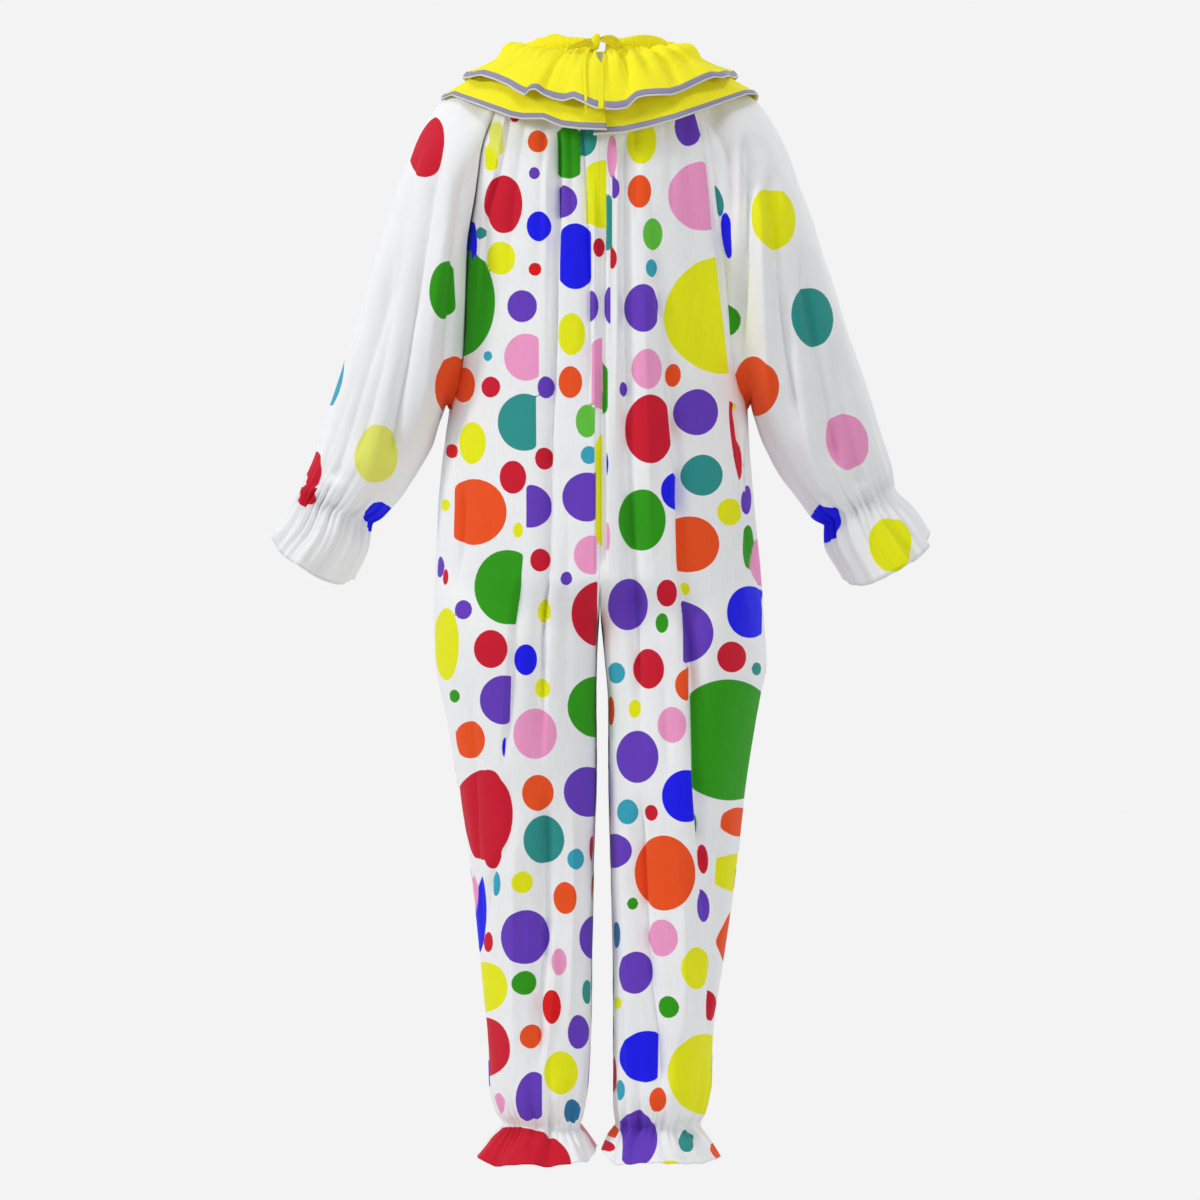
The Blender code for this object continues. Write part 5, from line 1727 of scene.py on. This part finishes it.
@dataclass
class NeckCasing:
    """The gathered tunnel round the neck that holds the tape."""
    columns: int = 520
    rows: int = 9
    wall: float = 0.0007
    hump: float = 0.0050
    seed: int = 91

    def build(self, room: SewingRoom) -> None:
        """Makes the casing."""
        low = UPPER_TIER[0]
        start = math.degrees(math.asin(low.right_end / low.side))
        degrees = np.linspace(start, 360.0 - start, self.columns)[None, :]
        angle, turn = np.radians(degrees), degrees / 360.0
        up = np.linspace(0.0, 1.0, self.rows)[:, None]
        out = CASING_CLEAR + CASING_BELLY * np.sin(math.pi * up)
        out = out + CASING_GATHERS.at(turn, self.seed) * (0.0006 + 0.0003 * up)
        side = low.side + out
        depth = np.where(np.cos(angle) > 0.0, low.back, low.front) + out
        off = 180.0 - np.abs(degrees - 180.0)
        sag = CASING_SAG * hump(off, SAG_SPREAD)
        wobble = (CASING_WOBBLE.at(turn, self.seed) + self.hump * hump(off - HUMP_AT, HUMP_SPREAD)) * up
        height = CASING_LOW + (CASING_HIGH - CASING_LOW - sag) * up + wobble
        points = np.stack([side * np.sin(angle), -depth * np.cos(angle), height + 0.0 * side], axis=-1)
        middles = np.stack([np.zeros(self.rows), np.zeros(self.rows), points[:, 0, 2]], axis=-1)
        grid = ClothGrid.over(points, middles)
        piece = room.cloth("neck_casing", grid, YELLOW_TAPE, self.wall, "yellow_cotton")


# ---- tie


class TapePoint(NamedTuple):
    """A point on a tape's middle line, with half its width and its twist out of upright there."""
    x: float
    y: float
    z: float
    half_width: float
    twist: float = 0.0


LOOP_LEFT = table(
    TapePoint,
    (-0.0085, -0.0885, 0.0604, 0.0024), (-0.015, -0.0905, 0.0594, 0.0024), (-0.023, -0.0925, 0.0568, 0.0022),
    (-0.0305, -0.094, 0.0535, 0.0019), (-0.0362, -0.095, 0.0508, 0.0016), (-0.0388, -0.097, 0.0494, 0.0014),
    (-0.0365, -0.0992, 0.0492, 0.0016), (-0.03, -0.1, 0.0505, 0.0019), (-0.0215, -0.099, 0.053, 0.0022),
    (-0.0135, -0.0965, 0.0558, 0.0023), (-0.0085, -0.0925, 0.0575, 0.0022),
)
LOOP_RIGHT = table(
    TapePoint,
    (0.0005, -0.0885, 0.061, 0.0024), (0.007, -0.0915, 0.0632, 0.0026), (0.0135, -0.0935, 0.0632, 0.0028),
    (0.0192, -0.0948, 0.0604, 0.0028), (0.0224, -0.0955, 0.056, 0.0027), (0.0236, -0.098, 0.0515, 0.0025),
    (0.0218, -0.1005, 0.0482, 0.0024), (0.018, -0.1005, 0.0492, 0.0024), (0.014, -0.0985, 0.054, 0.0026),
    (0.0075, -0.096, 0.058, 0.0025), (0.001, -0.0925, 0.0596, 0.0022),
)
TAIL_START = table(
    TapePoint,
    (-0.008, -0.088, 0.057, 0.0022), (-0.0118, -0.0922, 0.0535, 0.0026),
)
# The tail's middle as it hangs at the back: columns and rows of the chart, on each tier.
TAIL_ON_UPPER = ((585.5, 56), (584.5, 64), (584.5, 74), (585.0, 84), (585.5, 94), (585.8, 100))
TAIL_ON_LOWER = ((586.0, 108), (586.2, 117))
TAIL_LIFT = 0.0013
TAIL_STEP = 0.0010                   # how far each point of the tail may draw in behind the one above it
TAIL_HALF_WIDTH = (0.0025, 0.0014)   # where it leaves the knot, and at its end
TAPE_SIGHT = (0.0, -1.0, 0.25)       # the way that the tape's face is turned
TAPE_STEADY = 0.35                   # where the tape runs this near to its sight line, it keeps its turn
KNOT_CENTRE = Vector((-0.0062, -0.0885, 0.0578))
KNOT_HALF_SIZE = Vector((0.0058, 0.0060, 0.0102))


@dataclass
class TieBow:
    """The flat tape tied at the nape: a knot, two loops and one hanging end."""
    wall: float = 0.0007
    stations: int = 72
    across: int = 7

    def tape(self, stops: Sequence[TapePoint]) -> tuple[ClothGrid, Array]:
        """Lays a flat tape along its middle line.

        Args:
            stops: The tape's points.

        Returns:
            The tape's face and its middle line.
        """
        rows = np.array(stops, dtype=float)
        smooth = flow_through(rows, np.linspace(0.0, len(rows) - 1.0, self.stations))
        for _ in range(3):
            smooth[1:-1] = (smooth[:-2] + 2.0 * smooth[1:-1] + smooth[2:]) / 4.0
        line, half = smooth[:, :3], smooth[:, 3]
        along = unit(np.gradient(line, axis=0))
        width_way = np.cross(along, unit(np.tile(np.array(TAPE_SIGHT), (len(line), 1))))
        strength = np.linalg.norm(width_way, axis=1, keepdims=True)
        width_way = unit(width_way)
        for k in range(1, len(line)):
            if strength[k] < TAPE_STEADY or np.dot(width_way[k], width_way[k - 1]) < 0.0:
                width_way[k] = unit(width_way[k - 1] - along[k] * np.dot(width_way[k - 1], along[k]))
        share = np.linspace(-1.0, 1.0, self.across)
        points = line[:, None, :] + width_way[:, None, :] * (half[:, None] * share)[..., None]
        return ClothGrid.over(points, line + np.cross(width_way, along)), line

    def tail_stops(self, upper: ClothGrid, lower: ClothGrid) -> list[TapePoint]:
        """Lays the hanging end's middle line over the collar.

        Args:
            upper: The upper tier's outer face.
            lower: The lower tier's outer face.

        Returns:
            The tape's points.
        """
        stops = list(TAIL_START)
        places = [(upper, place) for place in TAIL_ON_UPPER] + [(lower, place) for place in TAIL_ON_LOWER]
        for number, (tier, (column, row)) in enumerate(places):
            half = float(np.interp(number, (0, len(places) - 1), TAIL_HALF_WIDTH))
            point, out = tier.find(column, row, Facing.BACK)
            x, y, z = point + out * TAIL_LIFT
            stops.append(TapePoint(float(x), min(float(y), stops[-1].y + TAIL_STEP), float(z), half))
        return stops

    def build(self, room: SewingRoom, upper: ClothGrid, lower: ClothGrid) -> None:
        """Makes the bow.

        Args:
            room: Where pieces are made.
            upper: The upper tier's outer face.
            lower: The lower tier's outer face.
        """
        for name, stops in (("tie_loop_left", LOOP_LEFT), ("tie_loop_right", LOOP_RIGHT)):
            grid, line = self.tape(stops)
            # The loops take the darker yellow: painted shade.
            piece = room.cloth(name, grid, YELLOW_TAPE_PAINTED_SHADE, self.wall, "yellow_cotton")
        grid, line = self.tape(self.tail_stops(upper, lower))
        tail = room.cloth("tie_tail_left", grid, YELLOW_TAPE, self.wall, "yellow_cotton")
        self.knot(room)

    def knot(self, room: SewingRoom) -> None:
        """Makes the knot: a rounded wrap of tape with its folds."""
        maker = bmesh.new()
        bmesh.ops.create_cube(maker, size=2.0)
        bmesh.ops.subdivide_edges(maker, edges=maker.edges[:], cuts=5, use_grid_fill=True)
        for vert in maker.verts:
            round_off = vert.co.normalized() * 1.12
            vert.co = vert.co * 0.45 + round_off * 0.55
            fold = 0.06 * math.sin(vert.co.x * 9.0 + vert.co.z * 1.5)
            vert.co += vert.co.normalized() * fold
            vert.co.x *= 1.0 - 0.20 * vert.co.z
            vert.co.x += 0.38 * vert.co.z
        bmesh.ops.scale(maker, vec=KNOT_HALF_SIZE, verts=maker.verts)
        bmesh.ops.translate(maker, vec=KNOT_CENTRE, verts=maker.verts)
        layer = maker.loops.layers.uv.new("cloth")
        for face in maker.faces:
            face.smooth = True
            for loop in face.loops:
                loop[layer].uv = (loop.vert.co.x, loop.vert.co.z)
        piece = room.place("tie_knot", finished_mesh(maker, "tie_knot_cloth"), YELLOW_TAPE, "yellow_cotton")
        soft = piece.modifiers.new("soft", "SUBSURF")
        soft.levels = 1
        soft.render_levels = 1


# ---- studio


class SoftLight(NamedTuple):
    """A square area light that points at a height on the suit's middle line."""
    name: str
    place: tuple[float, float, float]
    aim_height: float
    size: float
    power: float       # in watts


LIGHTS = table(
    SoftLight,
    ("key", (-4.8, -2.1, 2.0), -0.5, 1.2, 117.0),
    ("near_key", (-4.0, -4.0, 2.0), -0.5, 1.2, 38.0),
    ("fill", (3.6, -4.0, 0.2), -0.7, 3.0, 62.0),
    ("top", (0.0, -2.4, 4.4), -0.6, 1.6, 60.0),
    ("front_key", (3.0, 3.6, 2.0), -0.5, 2.2, 52.0),
)


@dataclass
class Studio:
    """A plain pale floor, soft light and a level camera behind the suit."""
    lens: float = 140.6
    sensor: float = 36.0
    floor_height: float = -1.95
    floor_size: float = 3.2
    bright_sky: float = 0.896
    dim_sky: float = 0.36

    def camera(self) -> None:
        """Sets the camera up where the chart is read from."""
        data = bpy.data.cameras.new("camera")
        data.lens = self.lens
        data.sensor_width = self.sensor
        camera = stand("camera", data)
        camera.location = (0.0, -CHART.distance, CHART.level)
        camera.rotation_euler = (math.radians(90.0), 0.0, 0.0)
        bpy.context.scene.camera = camera

    def lights(self) -> None:
        """Adds the lights and the pale surroundings."""
        for spec in LIGHTS:
            data = bpy.data.lights.new(spec.name, "AREA")
            data.size = spec.size
            data.energy = spec.power
            light = stand(spec.name, data)
            light.location = spec.place
            way = Vector((0.0, 0.0, spec.aim_height)) - Vector(spec.place)
            light.rotation_euler = way.to_track_quat("-Z", "Y").to_euler()
        world = bpy.data.worlds.new("studio")
        world.use_nodes = True
        tree = world.node_tree
        sky = tree.nodes["Background"]
        sky.inputs["Color"].default_value = (1.0, 1.0, 1.0, 1.0)
        way = tree.nodes.new("ShaderNodeTexCoord")
        split = tree.nodes.new("ShaderNodeSeparateXYZ")
        spread = tree.nodes.new("ShaderNodeMapRange")
        for name, value in (("From Min", -0.2), ("From Max", 0.8), ("To Min", self.dim_sky),
                            ("To Max", self.bright_sky)):
            spread.inputs[name].default_value = value
        tree.links.new(way.outputs["Generated"], split.inputs[0])
        tree.links.new(split.outputs["Y"], spread.inputs["Value"])
        tree.links.new(spread.outputs["Result"], sky.inputs["Strength"])
        bpy.context.scene.world = world
        bpy.context.scene.view_settings.view_transform = "Standard"

    def floor(self) -> None:
        """Lays the floor, which fades out towards its edge."""
        maker = bmesh.new()
        bmesh.ops.create_grid(maker, x_segments=2, y_segments=2, size=self.floor_size)
        bmesh.ops.translate(maker, vec=(0.0, 0.0, self.floor_height), verts=maker.verts)
        mesh = finished_mesh(maker, "floor")
        nodes = Nodes("floor_paper")
        place = nodes.add("ShaderNodeTexCoord").outputs["Object"]
        far = nodes.add("ShaderNodeVectorMath", {0: place}, operation="LENGTH").outputs["Value"]
        apart = nodes.math("SQRT", nodes.math("SUBTRACT", nodes.math("POWER", far, 2.0),
                                              self.floor_height ** 2))
        fade = nodes.ramp(apart, 0.4 * self.floor_size, 0.98 * self.floor_size, 1.0, 0.0)
        nodes.fill(nodes.shader, {"Base Color": (0.86, 0.86, 0.86, 1.0), "Roughness": 0.95,
                                  "Specular IOR Level": 0.1, "Alpha": fade})
        mesh.materials.append(nodes.material)
        stand("floor", mesh)


def main() -> None:
    """Builds the suit and its studio."""
    logging.basicConfig(level=logging.INFO, format="%(message)s")
    studio = Studio()
    studio.camera()
    room = SewingRoom()
    upper = CollarTier("upper", UPPER_TIER, 11, UPPER_EDGE_LEFT, UPPER_EDGE_RIGHT, 81, UPPER_TUCKS,
                       puff=0.0145, facing=0.0078)
    lower = CollarTier("lower", LOWER_TIER, 9, LOWER_EDGE_LEFT, LOWER_EDGE_RIGHT, 83,
                       tuck=0.0052, narrower_edging=0.0007)
    reaches = np.linspace(0.0, 1.0, 60)
    TieBow().build(room, upper.grid(reaches), lower.grid(reaches))
    form = BodyForm()
    panels = BodyPanels(form)
    right_spots = across_the_back(BACK_LEFT_SPOTS, BACK_RIGHT_SPOTS)
    for side, facing, creases, spots, seed in (
            (Side.LEFT, Facing.BACK, BACK_LEFT_CREASES, BACK_LEFT_SPOTS, 301),
            (Side.RIGHT, Facing.BACK, BACK_RIGHT_CREASES, right_spots, 302),
            (Side.LEFT, Facing.FRONT, FRONT_LEFT_CREASES, BACK_LEFT_SPOTS, 303),
            (Side.RIGHT, Facing.FRONT, FRONT_RIGHT_CREASES, BACK_RIGHT_SPOTS, 304)):
        panels.build(room, side, facing, creases, spots, seed)
    sleeves = Sleeves(form)
    across = 2 * CHART.middle
    mirrored = tuple(crease._replace(path=tuple((across - column, row) for column, row in crease.path),
                                     left=crease.right, right=crease.left) for crease in SLEEVE_FRONT_CREASES)
    for side, creases, front_creases, spots, seed in (
            (Side.LEFT, SLEEVE_LEFT_CREASES, SLEEVE_FRONT_CREASES, SLEEVE_LEFT_SPOTS, 305),
            (Side.RIGHT, SLEEVE_RIGHT_CREASES, mirrored, SLEEVE_RIGHT_SPOTS, 306)):
        sleeves.build(room, side, creases, front_creases, spots, seed)
    upper.build(room)
    lower.build(room)
    NeckCasing().build(room)
    studio.lights()
    studio.floor()


if __name__ == "__main__":
    main()
